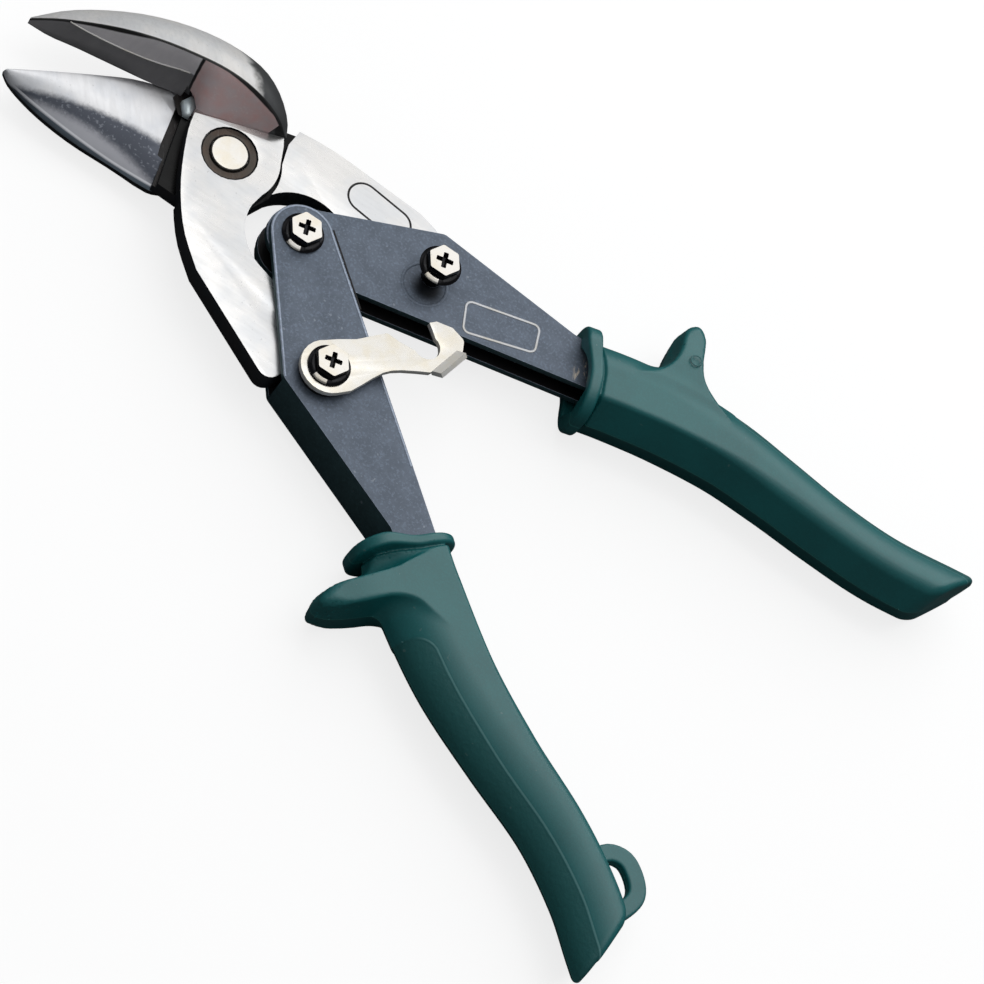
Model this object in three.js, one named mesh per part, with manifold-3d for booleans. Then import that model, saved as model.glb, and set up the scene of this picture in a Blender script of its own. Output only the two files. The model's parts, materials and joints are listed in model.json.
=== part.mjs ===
// Compound-action offset aviation snips, lying flat and open.
// Units are millimetres. +Z is up, along every pivot. +X runs from the blade pivot to the handle pivot.
// Every height below is measured from the plane in which the two blades slide on each other. The
// finished pieces are lowered together, so that the origin is the centre of the pivot bolt's top face.

import * as THREE from 'three';
import { mergeVertices } from 'three/addons/utils/BufferGeometryUtils.js';
import Module from 'manifold-3d';

const wasm = await Module();
wasm.setup();

// ---------------------------------------------------------------- driving dimensions

const BLADE_PIVOT = [0, 0];
const HANDLE_PIVOT = [26, 0];
const UPPER_SHANK_PIN = [56, -20]; // joins the upper blade to the lower handle
const LOWER_SHANK_PIN = [51.3, 21.4]; // joins the lower blade to the upper handle

const SLIDE_GAP = 0.05; // half the gap between the two blades' sliding faces
const HUB_THICKNESS = 4.15;
const HUB_TOP = SLIDE_GAP + HUB_THICKNESS;
const UPPER_SHANK_BOTTOM = -1.6;
const LOWER_SHANK_HALF = 2.4; // the lower blade's shank is centred on the slide plane
const HUB_CLEAR_RADIUS = 18.6; // the upper blade's shank thickens downwards outside this radius
const STEP_RADIUS = 13.6; // the lower blade's shank steps up outside this radius
const ROOT_GROOVE_FLOOR = -1.9; // the lower jaw is set off from its hub by a groove

const SHEET = 1.8; // steel sheet of both handle channels
const LOWER_CHANNEL_TOP = 6.2;
const UPPER_CHANNEL_TOP = 4.3; // this channel nests inside the lower one at the handle pivot

const PIN_RADIUS = 2.5;
const RUNNING_GAP = 0.1;
const OPEN_PIVOT_GAP = 0.55; // at the lower shank pin, where the closed linkage is opened
const BOLT_RADIUS = 4.7;
const BOLT_RING_RADIUS = 7.0;
const BOLT_TOP = HUB_TOP + 0.25;
const BOLT_TIP = -8.8;
const BOLT_NUT_FLATS = 14;
const BOLT_WASHER_RADIUS = 8.2;

const HEAD_FLANGE_RADIUS = 5.2;
const HEAD_FLANGE_HEIGHT = 1.1;
const HEAD_HEX_FLATS = 7.4;
const HEAD_HEX_HEIGHT = 2.2;
const NUT_FLATS = 8;
const NUT_HEIGHT = 2.8;
const HEAD_TWIST = 20; // degrees
const SCREW_REACH = 3.1; // how far a screw's tip stands below the top of its nut

const LATCH_BOTTOM = 8.2;
const LATCH_THICKNESS = 1.5;
const LATCH_TOP = LATCH_BOTTOM + LATCH_THICKNESS;
const LATCH_EYE_RADIUS = 6.8;
const CATCH_HEAD_BOTTOM = 9.9;

const GRIP_HALF_HEIGHT = 9.7;
const COLLAR_HALF_WIDTH = 13;
const COLLAR_HALF_HEIGHT = 11.1;
const COLLAR_FLAT = 10.9; // the collars end in small flats, on which the tool lies
const COLLAR_LENGTH = 3.6;
const LOOP_HALF_THICKNESS = 1.7;
const FIT_GAP = 0.3; // all round the channel tang inside its grip

// ---------------------------------------------------------------- materials

const steel = { color: 0xd9d8d4, roughness: 0.28, metalness: 1 };
const zinc = { color: 0xcfd0cf, roughness: 0.35, metalness: 1 };
const painted = { color: 0x5c6470, roughness: 0.5, metalness: 0.4 };
const blackened = { color: 0x2a2c30, roughness: 0.4, metalness: 0.8 };
const bronzed = { color: 0x6f5d47, roughness: 0.4, metalness: 0.9 };
const vinyl = { color: 0x0b5149, roughness: 0.45, metalness: 0 };

// ---------------------------------------------------------------- helpers

const degrees = THREE.MathUtils.degToRad;

/** A closed three.js geometry as a solid that can be joined and cut. */
function solid(geometry) {
  const bare = new THREE.BufferGeometry();
  bare.setAttribute('position', geometry.getAttribute('position'));
  bare.setIndex(geometry.index);
  const merged = mergeVertices(bare, 1e-4);
  const vertProperties = new Float32Array(merged.getAttribute('position').array);
  const triVerts = new Uint32Array(merged.index.array);
  return new wasm.Manifold(new wasm.Mesh({ numProp: 3, vertProperties, triVerts }));
}

/** The named mesh of one finished solid, lowered to the model's origin. */
function piece(name, body, finish) {
  const { vertProperties, triVerts } = body.translate([0, 0, -BOLT_TOP]).getMesh();
  const geometry = new THREE.BufferGeometry();
  geometry.setAttribute('position', new THREE.BufferAttribute(new Float32Array(vertProperties), 3));
  geometry.setIndex(new THREE.BufferAttribute(new Uint32Array(triVerts), 1));
  geometry.computeVertexNormals();
  const mesh = new THREE.Mesh(geometry, new THREE.MeshStandardMaterial(finish));
  mesh.name = name;
  return mesh;
}

/** Points on a circular arc, from one angle to another, in degrees. */
function arc([cx, cy], radius, from, to, steps = 8) {
  return Array.from({ length: steps + 1 }, (_, i) => {
    const angle = degrees(from + ((to - from) * i) / steps);
    return [cx + radius * Math.cos(angle), cy + radius * Math.sin(angle)];
  });
}

/** A smooth open curve through a few points, as plan points. */
function sweep(points, steps = 10) {
  const curve = new THREE.SplineCurve(points.map(([x, y]) => new THREE.Vector2(x, y)));
  return curve.getPoints(steps).map((p) => [p.x, p.y]);
}

/** The corner at a point, rounded between its two neighbours. */
function rounded(before, corner, after, radius, steps = 5) {
  const [a, b, c] = [before, corner, after].map(([x, y]) => new THREE.Vector2(x, y));
  const back = a.sub(b).normalize();
  const on = c.sub(b).normalize();
  const half = Math.acos(back.dot(on)) / 2;
  const bisector = back.clone().add(on).normalize();
  const centre = b.clone().addScaledVector(bisector, radius / Math.sin(half));
  const start = b.clone().addScaledVector(back, radius / Math.tan(half)).sub(centre).angle();
  const end = b.clone().addScaledVector(on, radius / Math.tan(half)).sub(centre).angle();
  const turn = THREE.MathUtils.euclideanModulo(end - start + Math.PI, 2 * Math.PI) - Math.PI;
  const from = THREE.MathUtils.radToDeg(start);
  return arc([centre.x, centre.y], radius, from, from + THREE.MathUtils.radToDeg(turn), steps);
}

/** A closed outline with every corner [x, y, radius] rounded by its own radius. */
function outline(corners) {
  return corners.flatMap(([x, y, radius], i) => {
    const before = corners.at(i - 1);
    const after = corners[(i + 1) % corners.length];
    return radius ? rounded(before, [x, y], after, radius) : [[x, y]];
  });
}

/** A flat plate with the given plan outline, between two heights. */
function plate(points, bottom, top, bevel = 0) {
  const shape = new THREE.Shape(points.map(([x, y]) => new THREE.Vector2(x, y)));
  const geometry = new THREE.ExtrudeGeometry(shape, {
    depth: top - bottom - 2 * bevel,
    bevelEnabled: bevel > 0,
    bevelThickness: bevel,
    bevelSize: bevel,
    bevelOffset: -bevel,
    bevelSegments: 3,
  });
  return solid(geometry.translate(0, 0, bottom + bevel));
}

/** An upright cylinder or, with few sides, a prism. */
function post([x, y], radius, bottom, top, sides = 24) {
  const geometry = new THREE.CylinderGeometry(radius, radius, top - bottom, sides);
  return solid(geometry.rotateX(Math.PI / 2).translate(x, y, (bottom + top) / 2));
}

/** An upright hexagonal prism, measured across its flats. */
function hexagon(at, flats, bottom, top) {
  return post(at, flats / Math.sqrt(3), bottom, top, 6);
}

/** A ring turned about an upright axis, from a closed profile of [radius, height] points. */
function turned([x, y], profile, sides = 24) {
  const points = [...profile, profile[0]].map(([r, z]) => new THREE.Vector2(r, z));
  const geometry = new THREE.LatheGeometry(points, sides);
  return solid(geometry.rotateX(Math.PI / 2).translate(x, y, 0));
}

/** A flat washer or tube. */
function tube(at, inner, outer, bottom, top) {
  return post(at, outer, bottom, top).subtract(post(at, inner, bottom - 1, top + 1));
}

// ---------------------------------------------------------------- lofts

/** A closed body whose cross-sections follow a curve in the plane. Sections are rounded rectangles. */
function sleeve({ spine, halfWidth, halfHeight, lean = () => 0, rows = 20, columns = 20 }) {
  const geometry = new THREE.CylinderGeometry(1, 1, 1, columns, rows);
  const position = geometry.getAttribute('position');
  const squareness = 2 / 2.6;
  const squared = (value) => Math.sign(value) * Math.abs(value) ** squareness;
  for (let i = 0; i < position.count; i += 1) {
    const along = THREE.MathUtils.clamp(0.5 - position.getY(i), 0, 1);
    const centre = spine.getPointAt(along);
    const tangent = spine.getTangentAt(along);
    const side = squared(position.getX(i)) * halfWidth(along);
    const up = squared(position.getZ(i)) * halfHeight(along);
    const shift = side * lean(along);
    position.setXYZ(
      i,
      centre.x - tangent.y * side + tangent.x * shift,
      centre.y + tangent.x * side + tangent.y * shift,
      up,
    );
  }
  const body = solid(geometry);
  return body.volume() > 0 ? body : solid(flipped(geometry));
}

/** The same geometry with its faces turned the other way. */
function flipped(geometry) {
  const index = geometry.index.array;
  for (let i = 0; i < index.length; i += 3) {
    [index[i], index[i + 1]] = [index[i + 1], index[i]];
  }
  return geometry;
}

/** A closed jaw: a box whose long axis follows stations, with a function giving each section. */
function jaw(stations, section, rows = 24, columns = 12) {
  const keys = Object.keys(stations[0]);
  const curves = keys.map((key) => {
    const points = stations.map((station) => new THREE.Vector3(...station[key]));
    return [key, new THREE.CatmullRomCurve3(points, false, 'centripetal')];
  });
  const geometry = new THREE.BoxGeometry(1, 1, 1, rows, columns, 1);
  const position = geometry.getAttribute('position');
  for (let i = 0; i < position.count; i += 1) {
    const along = position.getX(i) + 0.5;
    const across = position.getY(i) + 0.5;
    const isTop = position.getZ(i) > 0;
    const at = Object.fromEntries(curves.map(([key, curve]) => [key, curve.getPoint(along)]));
    const point = section(at, across, isTop);
    position.setXYZ(i, point.x, point.y, point.z);
  }
  const body = solid(geometry);
  return body.volume() > 0 ? body : solid(flipped(geometry));
}

// ---------------------------------------------------------------- upper blade

/** The hub and shank of the upper blade in plan, running round anticlockwise. */
function upperBladePlan() {
  const stopCorner = [49.6, -32.2];
  return [
    ...sweep([[-12.8, -0.2], [-9.4, -5.6], [-0.8, -15.2], [9, -22.9], [19, -27.5]], 14),
    ...rounded([19, -27.5], stopCorner, [50.4, -27], 3),
    ...arc(UPPER_SHANK_PIN, 7.2, 220, 360, 10),
    ...arc(UPPER_SHANK_PIN, 8.2, 0, 90, 8),
    ...arc(HANDLE_PIVOT, 13.5, 276, 199, 12),
    ...arc(BLADE_PIVOT, 12.6, -2, 46, 8),
    [5.6, 12.9],
    [3.8, 14.6],
  ];
}

/** Stations of the upper jaw, from its end behind the hub to its tip. */
const UPPER_JAW = [
  { foot: [3.7, 14.5, 4.0], ridge: [3.9, 14.9, 4.3], rim: [4.1, 15.4, 3.6] },
  { foot: [0.2, 11.5, HUB_TOP], ridge: [0.9, 13.2, 8.3], rim: [1.3, 17.6, 5.2] },
  { foot: [-3.6, 8.2, HUB_TOP], ridge: [-4.7, 12.3, 11.5], rim: [-5, 20.2, 6.4] },
  { foot: [-8, 4.5, HUB_TOP], ridge: [-10, 10.4, 13], rim: [-11.2, 20.9, 7] },
  { foot: [-12.6, 0.9, HUB_TOP], ridge: [-15.5, 7.6, 13.5], rim: [-17.2, 19.6, 7.2] },
  { foot: [-18, 2.6, 1.2], ridge: [-21.6, 4.6, 13], rim: [-24, 16.8, 7] },
  { foot: [-26, -2.2, 0.9], ridge: [-29, 0.3, 12.1], rim: [-31.2, 12.4, 6.4] },
  { foot: [-35, -7.5, 0.8], ridge: [-37, -4.4, 10.1], rim: [-38.8, 6, 5.4] },
  { foot: [-42.2, -11.7, 0.7], ridge: [-43.6, -9.4, 7.3], rim: [-45.2, -1.4, 4.2] },
  { foot: [-48, -15.4, 0.6], ridge: [-48.9, -13.6, 4.5], rim: [-50.2, -8.8, 2.8] },
  { foot: [-53.2, -17.6, 0.4], ridge: [-53.4, -17.2, 1.1], rim: [-53.8, -16.2, 0.7] },
];

/** One point of an upper jaw section: a steep inner wall, a ridge and a rounded outer back. */
function upperJawSection({ foot, ridge, rim }, across, isTop) {
  const base = new THREE.Vector3().lerpVectors(foot, rim, across).setZ(SLIDE_GAP);
  if (!isTop) return base;
  const wallShare = 1 / 3;
  if (across <= wallShare) return foot.clone().lerp(ridge, across / wallShare);
  const down = (across - wallShare) / (1 - wallShare);
  const back = ridge.clone().lerp(rim, down);
  back.z = rim.z + (ridge.z - rim.z) * (1 - down ** 2.2);
  return back;
}

function upperBlade() {
  const plan = upperBladePlan();
  const belowHub = post(BLADE_PIVOT, HUB_CLEAR_RADIUS, UPPER_SHANK_BOTTOM - 1, SLIDE_GAP, 48);
  const hub = plate(plan, UPPER_SHANK_BOTTOM, HUB_TOP).subtract(belowHub);
  const heelNotch = outline([[-18, -0.8], [-13.4, 0.4], [-15, 5], [-19.4, 3.8]]);
  return hub
    .add(jaw(UPPER_JAW, upperJawSection))
    .subtract(plate(heelNotch, -1, 4))
    .subtract(post(BLADE_PIVOT, BOLT_RADIUS + RUNNING_GAP, -1, HUB_TOP + 1))
    .subtract(post(BLADE_PIVOT, BOLT_RING_RADIUS + RUNNING_GAP, HUB_TOP - 1, HUB_TOP + 1))
    .subtract(post(UPPER_SHANK_PIN, PIN_RADIUS + RUNNING_GAP, -3, HUB_TOP + 1));
}

// ---------------------------------------------------------------- lower blade

/** The part of the lower blade that lies under the upper blade's hub, in plan. */
function lowerHubPlan() {
  return [
    [-17, 1.8],
    [-4.9, -18.3],
    [3.2, -15.6],
    ...sweep([[3.2, -15.6], [9.2, -10.4], [12.9, -2.6]], 5).slice(1),
    ...arc(HANDLE_PIVOT, 13, 168, 112, 8),
    [19.4, 26.8],
    ...sweep([[16.9, 25.9], [4.1, 20.4], [-4.4, 12.6], [-10.4, 5.2]], 9),
  ];
}

/** The thick shank of the lower blade in plan. */
function lowerShankPlan() {
  return [
    ...arc(BLADE_PIVOT, STEP_RADIUS, 13, 50, 8),
    [6.9, 13.2],
    [5.4, 15.6],
    [4.2, 20.4],
    ...sweep([[9.1, 22.9], [16.9, 25.9], [37, 32.1]], 6),
    ...rounded([16.9, 25.9], [43.6, 33], [45.4, 27], 2.5),
    ...arc(LOWER_SHANK_PIN, 7.2, 140, 0, 10),
    ...arc(LOWER_SHANK_PIN, 8.2, 0, -84, 8),
    ...arc(HANDLE_PIVOT, 13, 92, 167, 10),
  ];
}

/** Stations of the lower jaw, from the hub to the tip. */
const LOWER_JAW = [
  { edge: [-14.8, 2.6, -0.1], rim: [-2.4, -16.6, -3.8], sole: [-2.8, -15.8, -6.4] },
  { edge: [-17.2, 2.7, -0.1], rim: [-4.9, -18.5, -4.3], sole: [-5.2, -17.6, -7.2] },
  { edge: [-21.9, 0.9, -0.1], rim: [-14.6, -21.9, -5], sole: [-14.9, -21, -7.7] },
  { edge: [-27.9, -4.1, -0.1], rim: [-24.6, -25.9, -4.9], sole: [-24.8, -25, -7.6] },
  { edge: [-33.6, -11.4, -0.1], rim: [-32.8, -28.6, -4.2], sole: [-33, -27.8, -6.8] },
  { edge: [-39.6, -19.8, -0.1], rim: [-39.6, -30.2, -3.2], sole: [-39.6, -29.5, -5.6] },
  { edge: [-44, -26.2, -0.2], rim: [-44.2, -30.9, -2], sole: [-44.1, -30.3, -4.2] },
  { edge: [-46.4, -29.6, -0.5], rim: [-46.5, -30.6, -1.2], sole: [-46.4, -30.3, -2.8] },
];

/** One point of a lower jaw section: a domed top that rolls down to a thin outer rim. */
function lowerJawSection({ edge, rim, sole }, across, isTop) {
  if (isTop) {
    const top = edge.clone().lerp(rim, across);
    top.z = edge.z + (rim.z - edge.z) * across ** 2.2;
    return top;
  }
  const under = new THREE.Vector3(edge.x, edge.y, sole.z * 0.85);
  return under.lerp(sole, across);
}

function lowerBlade() {
  const hub = plate(lowerHubPlan(), -HUB_TOP, -SLIDE_GAP);
  const shank = plate(lowerShankPlan(), -LOWER_SHANK_HALF, LOWER_SHANK_HALF);
  const rootGroove = [[-18.6, 1.6], [-12.1, -9.6], [-4.4, -19.6], [-3.2, -19.3], [-9.6, -9.3], [-16.2, 1.5]];
  const openHole = PIN_RADIUS + OPEN_PIVOT_GAP;
  return hub
    .add(shank)
    .add(jaw(LOWER_JAW, lowerJawSection, 20, 10))
    .subtract(plate(rootGroove, ROOT_GROOVE_FLOOR, 1))
    .subtract(post(BLADE_PIVOT, BOLT_RADIUS + RUNNING_GAP, -HUB_TOP - 1, 1))
    .subtract(post(LOWER_SHANK_PIN, openHole, -LOWER_SHANK_HALF - 1, LOWER_SHANK_HALF + 1));
}

// ---------------------------------------------------------------- handle channels

/** A handle pressed from sheet: two flanges joined by a web along their outer edge. */
function channel({ plan, hollow, top, holes }) {
  let body = plate(plan, -top, top).subtract(plate(hollow, SHEET - top, top - SHEET));
  for (const at of holes) {
    body = body.subtract(post(at, PIN_RADIUS + RUNNING_GAP, -top - 1, top + 1));
  }
  return body;
}

// The end of each channel that sits in its grip, from the web side round to the open side.
const LOWER_TANG = [[94, -32.5], [109, -37.2], [141, -48.6], [143.6, -41.2], [104, -25.4]];
const UPPER_TANG = [[98.5, 38.3], [130.4, 55.4], [126.6, 63], [96.5, 48.2], [82, 42.6]];

function lowerChannel() {
  const plan = [
    ...arc(HANDLE_PIVOT, 7.8, 67, 233, 14),
    ...rounded([21.3, -6.2], [51.4, -28.9], [94, -32.5], 2.5),
    ...LOWER_TANG,
  ];
  const webInside = [[51.8, -27.1], [94.2, -30.6], [109.4, -35.3], [144, -47.6]];
  const hollow = [[15, 12], [15, -16], [50.5, -36], ...webInside, [150, -30], [104, -15]];
  return channel({ plan, hollow, top: LOWER_CHANNEL_TOP, holes: [HANDLE_PIVOT, UPPER_SHANK_PIN] });
}

function upperChannel() {
  const plan = [
    ...arc(HANDLE_PIVOT, 8.2, 133.7, 302, 14),
    ...UPPER_TANG,
    ...rounded([82, 42.6], [44.6, 32.4], [20.4, 6], 2.5),
  ];
  const webInside = [[129.6, 62.4], [97.1, 46.5], [82.6, 40.8], [45.2, 30.6]];
  const hollow = [[15, -14], [60, -10], [104, 30], [135, 50], ...webInside, [44, 37], [12, 8]];
  return channel({ plan, hollow, top: UPPER_CHANNEL_TOP, holes: [HANDLE_PIVOT, LOWER_SHANK_PIN] });
}

// ---------------------------------------------------------------- grips

/** The half width of a grip: full behind the collar, slimmer in the waist and towards the end. */
function gripHalfWidth(along) {
  return 10.1 - 2.2 * THREE.MathUtils.smoothstep(along, 0.1, 0.75);
}

/** A smooth curve in the plane through plan points. */
function flatCurve(points) {
  return new THREE.CatmullRomCurve3(points.map(([x, y]) => new THREE.Vector3(x, y, 0)));
}

/** How much a section shrinks to round the two ends of a body. */
function endRound(along, share, depth) {
  const near = Math.max(0, 1 - Math.min(along, 1 - along) / share);
  return 1 - depth * near * near;
}

/** A closed outline with every edge moved outwards by a margin. */
function grow(points, margin) {
  const corners = points.map(([x, y]) => new THREE.Vector2(x, y));
  const side = Math.sign(THREE.ShapeUtils.area(corners));
  const outward = (from, to) => {
    const along = to.clone().sub(from).normalize();
    return new THREE.Vector2(along.y, -along.x).multiplyScalar(side);
  };
  return corners.map((corner, i) => {
    const before = outward(corners.at(i - 1), corner);
    const after = outward(corner, corners[(i + 1) % corners.length]);
    const reach = margin / (1 + before.dot(after));
    return [corner.x + (before.x + after.x) * reach, corner.y + (before.y + after.y) * reach];
  });
}

/** The raised ring at the mouth of a grip, with small flats above and below. */
function collar(spine) {
  const mouth = spine.getPointAt(0);
  const heading = spine.getTangentAt(0);
  const ring = sleeve({
    spine: new THREE.LineCurve3(
      mouth.clone().addScaledVector(heading, -COLLAR_LENGTH / 2),
      mouth.clone().addScaledVector(heading, COLLAR_LENGTH / 2),
    ),
    halfWidth: (along) => COLLAR_HALF_WIDTH * endRound(along, 0.5, 0.12),
    halfHeight: (along) => COLLAR_HALF_HEIGHT * endRound(along, 0.4, 0.12),
    rows: 5,
    columns: 24,
  });
  const around = arc([mouth.x, mouth.y], 2 * COLLAR_HALF_WIDTH, 0, 270, 3);
  return ring.intersect(plate(around, -COLLAR_FLAT, COLLAR_FLAT));
}

/** The finger guard that stands out from a grip's outer side. */
function guard(spinePoints) {
  return sleeve({
    spine: flatCurve(spinePoints),
    halfWidth: (along) => THREE.MathUtils.lerp(5.2, 3.6, along) * endRound(along, 0.2, 0.4),
    halfHeight: (along) => THREE.MathUtils.lerp(8.6, 6.8, along) * endRound(along, 0.2, 0.4),
    rows: 10,
    columns: 16,
  });
}

/**
 * A moulded grip: a sleeve along its spine with a collar at the mouth, a finger guard and a pocket
 * for the channel's tang. The end is cut at a slant, longest on the outer side.
 */
function grip({ spinePoints, outerSide, guardPoints, tang, tangTop }) {
  const spine = flatCurve(spinePoints);
  const slant = 0.85 * outerSide;
  const body = sleeve({
    spine,
    halfWidth: (along) => gripHalfWidth(along) * endRound(along, 0.05, 0.3),
    halfHeight: (along) => GRIP_HALF_HEIGHT * endRound(along, 0.05, 0.3),
    lean: (along) => slant * THREE.MathUtils.smoothstep(along, 0.7, 1),
  });
  const pocketTop = tangTop + FIT_GAP;
  const pocket = plate(grow(tang, FIT_GAP), -pocketTop, pocketTop);
  return body.add(collar(spine)).add(guard(guardPoints)).subtract(pocket);
}

/** The flat hanging loop beside the end of the lower grip. */
function hangLoop() {
  const rim = [[179, -44, 0], [197.5, -50, 0], [196.8, -41.4, 5], [190.6, -34.2, 5], [181.4, -35.4, 4]];
  return plate(outline(rim), -LOOP_HALF_THICKNESS, LOOP_HALF_THICKNESS, 0.5);
}

function lowerGrip() {
  const front = [[97.8, -30.2], [110, -35.6], [130, -42.2], [150, -45.6]];
  const back = [[170, -47.9], [186, -52.2], [198.2, -57.6]];
  const body = grip({
    spinePoints: [...front, ...back],
    outerSide: -1,
    guardPoints: [[107.4, -36.6], [102.5, -48.2], [98.7, -60]],
    tang: [[84, -31.7], ...LOWER_TANG, [90, -19.4]],
    tangTop: LOWER_CHANNEL_TOP,
  });
  const mouth = [[183, -42.6, 1], [191.6, -46, 1], [192, -41.8, 1.4], [190.4, -39.4, 1.4], [184.2, -39, 1.4]];
  const slot = plate(outline(mouth), -LOOP_HALF_THICKNESS - 1, LOOP_HALF_THICKNESS + 1);
  return body.add(hangLoop()).subtract(slot);
}

function upperGrip() {
  const front = [[90.1, 36.4], [100, 43.6], [112, 50.8], [126, 57.2]];
  const back = [[140, 61.4], [156, 65.8], [171, 71.2], [186.2, 79.4]];
  return grip({
    spinePoints: [...front, ...back],
    outerSide: 1,
    guardPoints: [[109.4, 53], [103.4, 62.4], [98.2, 72]],
    tang: [[84, 28.7], ...UPPER_TANG, [74, 40.4]],
    tangTop: UPPER_CHANNEL_TOP,
  });
}

// ---------------------------------------------------------------- fasteners

/** A flanged hexagon screw with a cross recess. Its head rests at one height, its tip is at another. */
function screw(at, headBottom, tip) {
  const [x, y] = at;
  const hexBottom = headBottom + HEAD_FLANGE_HEIGHT;
  const top = hexBottom + HEAD_HEX_HEIGHT;
  const flange = turned(at, [
    [0, headBottom],
    [HEAD_FLANGE_RADIUS, headBottom],
    [HEAD_FLANGE_RADIUS, headBottom + 0.7],
    [HEAD_FLANGE_RADIUS - 0.9, hexBottom],
    [0, hexBottom],
  ]);
  let head = hexagon(at, HEAD_HEX_FLATS, hexBottom - 0.1, top);
  for (const angle of [0, 90]) {
    const recess = new THREE.BoxGeometry(4.2, 0.9, 2.4);
    head = head.subtract(solid(recess.rotateZ(degrees(angle)).translate(x, y, top)));
  }
  const turnedHead = head.translate([-x, -y, 0]).rotate([0, 0, HEAD_TWIST]).translate([x, y, 0]);
  return turnedHead.add(flange).add(post(at, PIN_RADIUS, tip, headBottom + 0.1));
}

function nut(at, flats, bottom, top, bore) {
  return hexagon(at, flats, bottom, top).subtract(post(at, bore, bottom - 1, top + 1));
}

function bladePivotBolt() {
  return turned(BLADE_PIVOT, [
    [0, BOLT_TIP],
    [BOLT_RADIUS - 0.6, BOLT_TIP],
    [BOLT_RADIUS, BOLT_TIP + 0.6],
    [BOLT_RADIUS, BOLT_TOP - 0.2],
    [BOLT_RADIUS - 0.2, BOLT_TOP],
    [0, BOLT_TOP],
  ], 32);
}

/** A coned washer that keeps the latch pressed under its screw head. */
function latchSpringWasher() {
  const low = LOWER_CHANNEL_TOP + 0.1;
  const high = LATCH_BOTTOM - 0.1;
  return turned(UPPER_SHANK_PIN, [[2.8, high - 0.7], [6.2, low], [6.2, low + 0.7], [2.8, high]]);
}

// ---------------------------------------------------------------- latch

/** The latch plate: an eye on the shank pin, an arm with a hook for the catch screw, and a thumb tab. */
function latchPlate() {
  const [x, y] = UPPER_SHANK_PIN;
  const hookCentre = [9.2, 24.3];
  const plan = [
    ...arc([0, 0], LATCH_EYE_RADIUS, 143, 338, 14),
    [7.6, 0.5],
    ...sweep([[7.9, 4], [8.4, 10.4], [10.4, 14.8], [14.6, 20.4]], 6),
    [15.4, 30.6],
    ...rounded([15.4, 30.6], [13, 33.4], [9, 33.4], 1.5),
    [9, 33.2],
    [5.6, 30.9],
    [4.9, 29.1],
    ...sweep([[6.8, 28.4], [8.9, 27.5]], 2),
    ...arc(hookCentre, 3.3, 80, -105, 9),
    [4.6, 19.3],
    ...rounded([4.6, 19.3], [1.2, 18.2], [-0.6, 12], 1),
    [-1.6, 10.6],
    [-4, 6.8],
  ];
  const arm = plate(plan, 0, LATCH_THICKNESS);
  const tab = new THREE.BoxGeometry(3.4, 9, 1.3);
  tab.translate(1.3, 0, 0).rotateY(degrees(-45)).rotateZ(degrees(4)).translate(14.6, 25.6, 0.9);
  return arm
    .add(solid(tab))
    .subtract(post([0, 0], PIN_RADIUS + RUNNING_GAP, -1, LATCH_THICKNESS + 1))
    .translate([x, y, LATCH_BOTTOM]);
}

// ---------------------------------------------------------------- return spring

/** A torsion spring round the handle pivot; its two legs lie against the blade shanks. */
class TorsionSpringCurve extends THREE.Curve {
  getPoint(t) {
    const [x, y] = HANDLE_PIVOT;
    const legShare = 0.24;
    const radius = 5.2;
    const turns = 2.5;
    const rise = 1.7;
    if (t < legShare) {
      const root = new THREE.Vector3(x, y - radius, -rise);
      return root.lerp(new THREE.Vector3(x + 26, y - 11.1, -rise), 1 - t / legShare);
    }
    if (t > 1 - legShare) {
      const root = new THREE.Vector3(x, y + radius, rise);
      return root.lerp(new THREE.Vector3(x + 25, y + 8.8, rise), 1 - (1 - t) / legShare);
    }
    const share = (t - legShare) / (1 - 2 * legShare);
    const angle = -Math.PI / 2 - share * turns * 2 * Math.PI;
    return new THREE.Vector3(
      x + radius * Math.cos(angle),
      y + radius * Math.sin(angle),
      THREE.MathUtils.lerp(-rise, rise, share),
    );
  }
}

function returnSpring() {
  const wire = new THREE.Shape().absarc(0, 0, 0.6, 0, 2 * Math.PI);
  return solid(new THREE.ExtrudeGeometry(wire, {
    steps: 72,
    curveSegments: 4,
    bevelEnabled: false,
    extrudePath: new TorsionSpringCurve(),
  }));
}

// ---------------------------------------------------------------- assembly

const lowerNutTop = -LOWER_CHANNEL_TOP - RUNNING_GAP;
const upperNutTop = -UPPER_CHANNEL_TOP - RUNNING_GAP;
const lowerScrewTip = lowerNutTop - SCREW_REACH;
const upperScrewTip = upperNutTop - SCREW_REACH;
const pinBore = PIN_RADIUS + RUNNING_GAP;
const boltBore = BOLT_RADIUS + RUNNING_GAP;

const washerTop = -HUB_TOP - RUNNING_GAP;
const washerBottom = washerTop - 0.9;
const pivotRing = tube(BLADE_PIVOT, boltBore, BOLT_RING_RADIUS, HUB_TOP - 0.95, HUB_TOP - 0.25);
const pivotWasher = tube(BLADE_PIVOT, boltBore, BOLT_WASHER_RADIUS, washerBottom, washerTop);
const pivotNut = nut(BLADE_PIVOT, BOLT_NUT_FLATS, BOLT_TIP + 0.5, washerBottom - RUNNING_GAP, boltBore);

const linkScrew = screw(HANDLE_PIVOT, LOWER_CHANNEL_TOP, lowerScrewTip);
const latchScrew = screw(UPPER_SHANK_PIN, LATCH_TOP + RUNNING_GAP, lowerScrewTip);
const catchScrew = screw(LOWER_SHANK_PIN, CATCH_HEAD_BOTTOM, upperScrewTip);
const linkNut = nut(HANDLE_PIVOT, NUT_FLATS, lowerNutTop - NUT_HEIGHT, lowerNutTop, pinBore);
const latchNut = nut(UPPER_SHANK_PIN, NUT_FLATS, lowerNutTop - NUT_HEIGHT, lowerNutTop, pinBore);
const catchNut = nut(LOWER_SHANK_PIN, NUT_FLATS, upperNutTop - NUT_HEIGHT, upperNutTop, pinBore);

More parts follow.
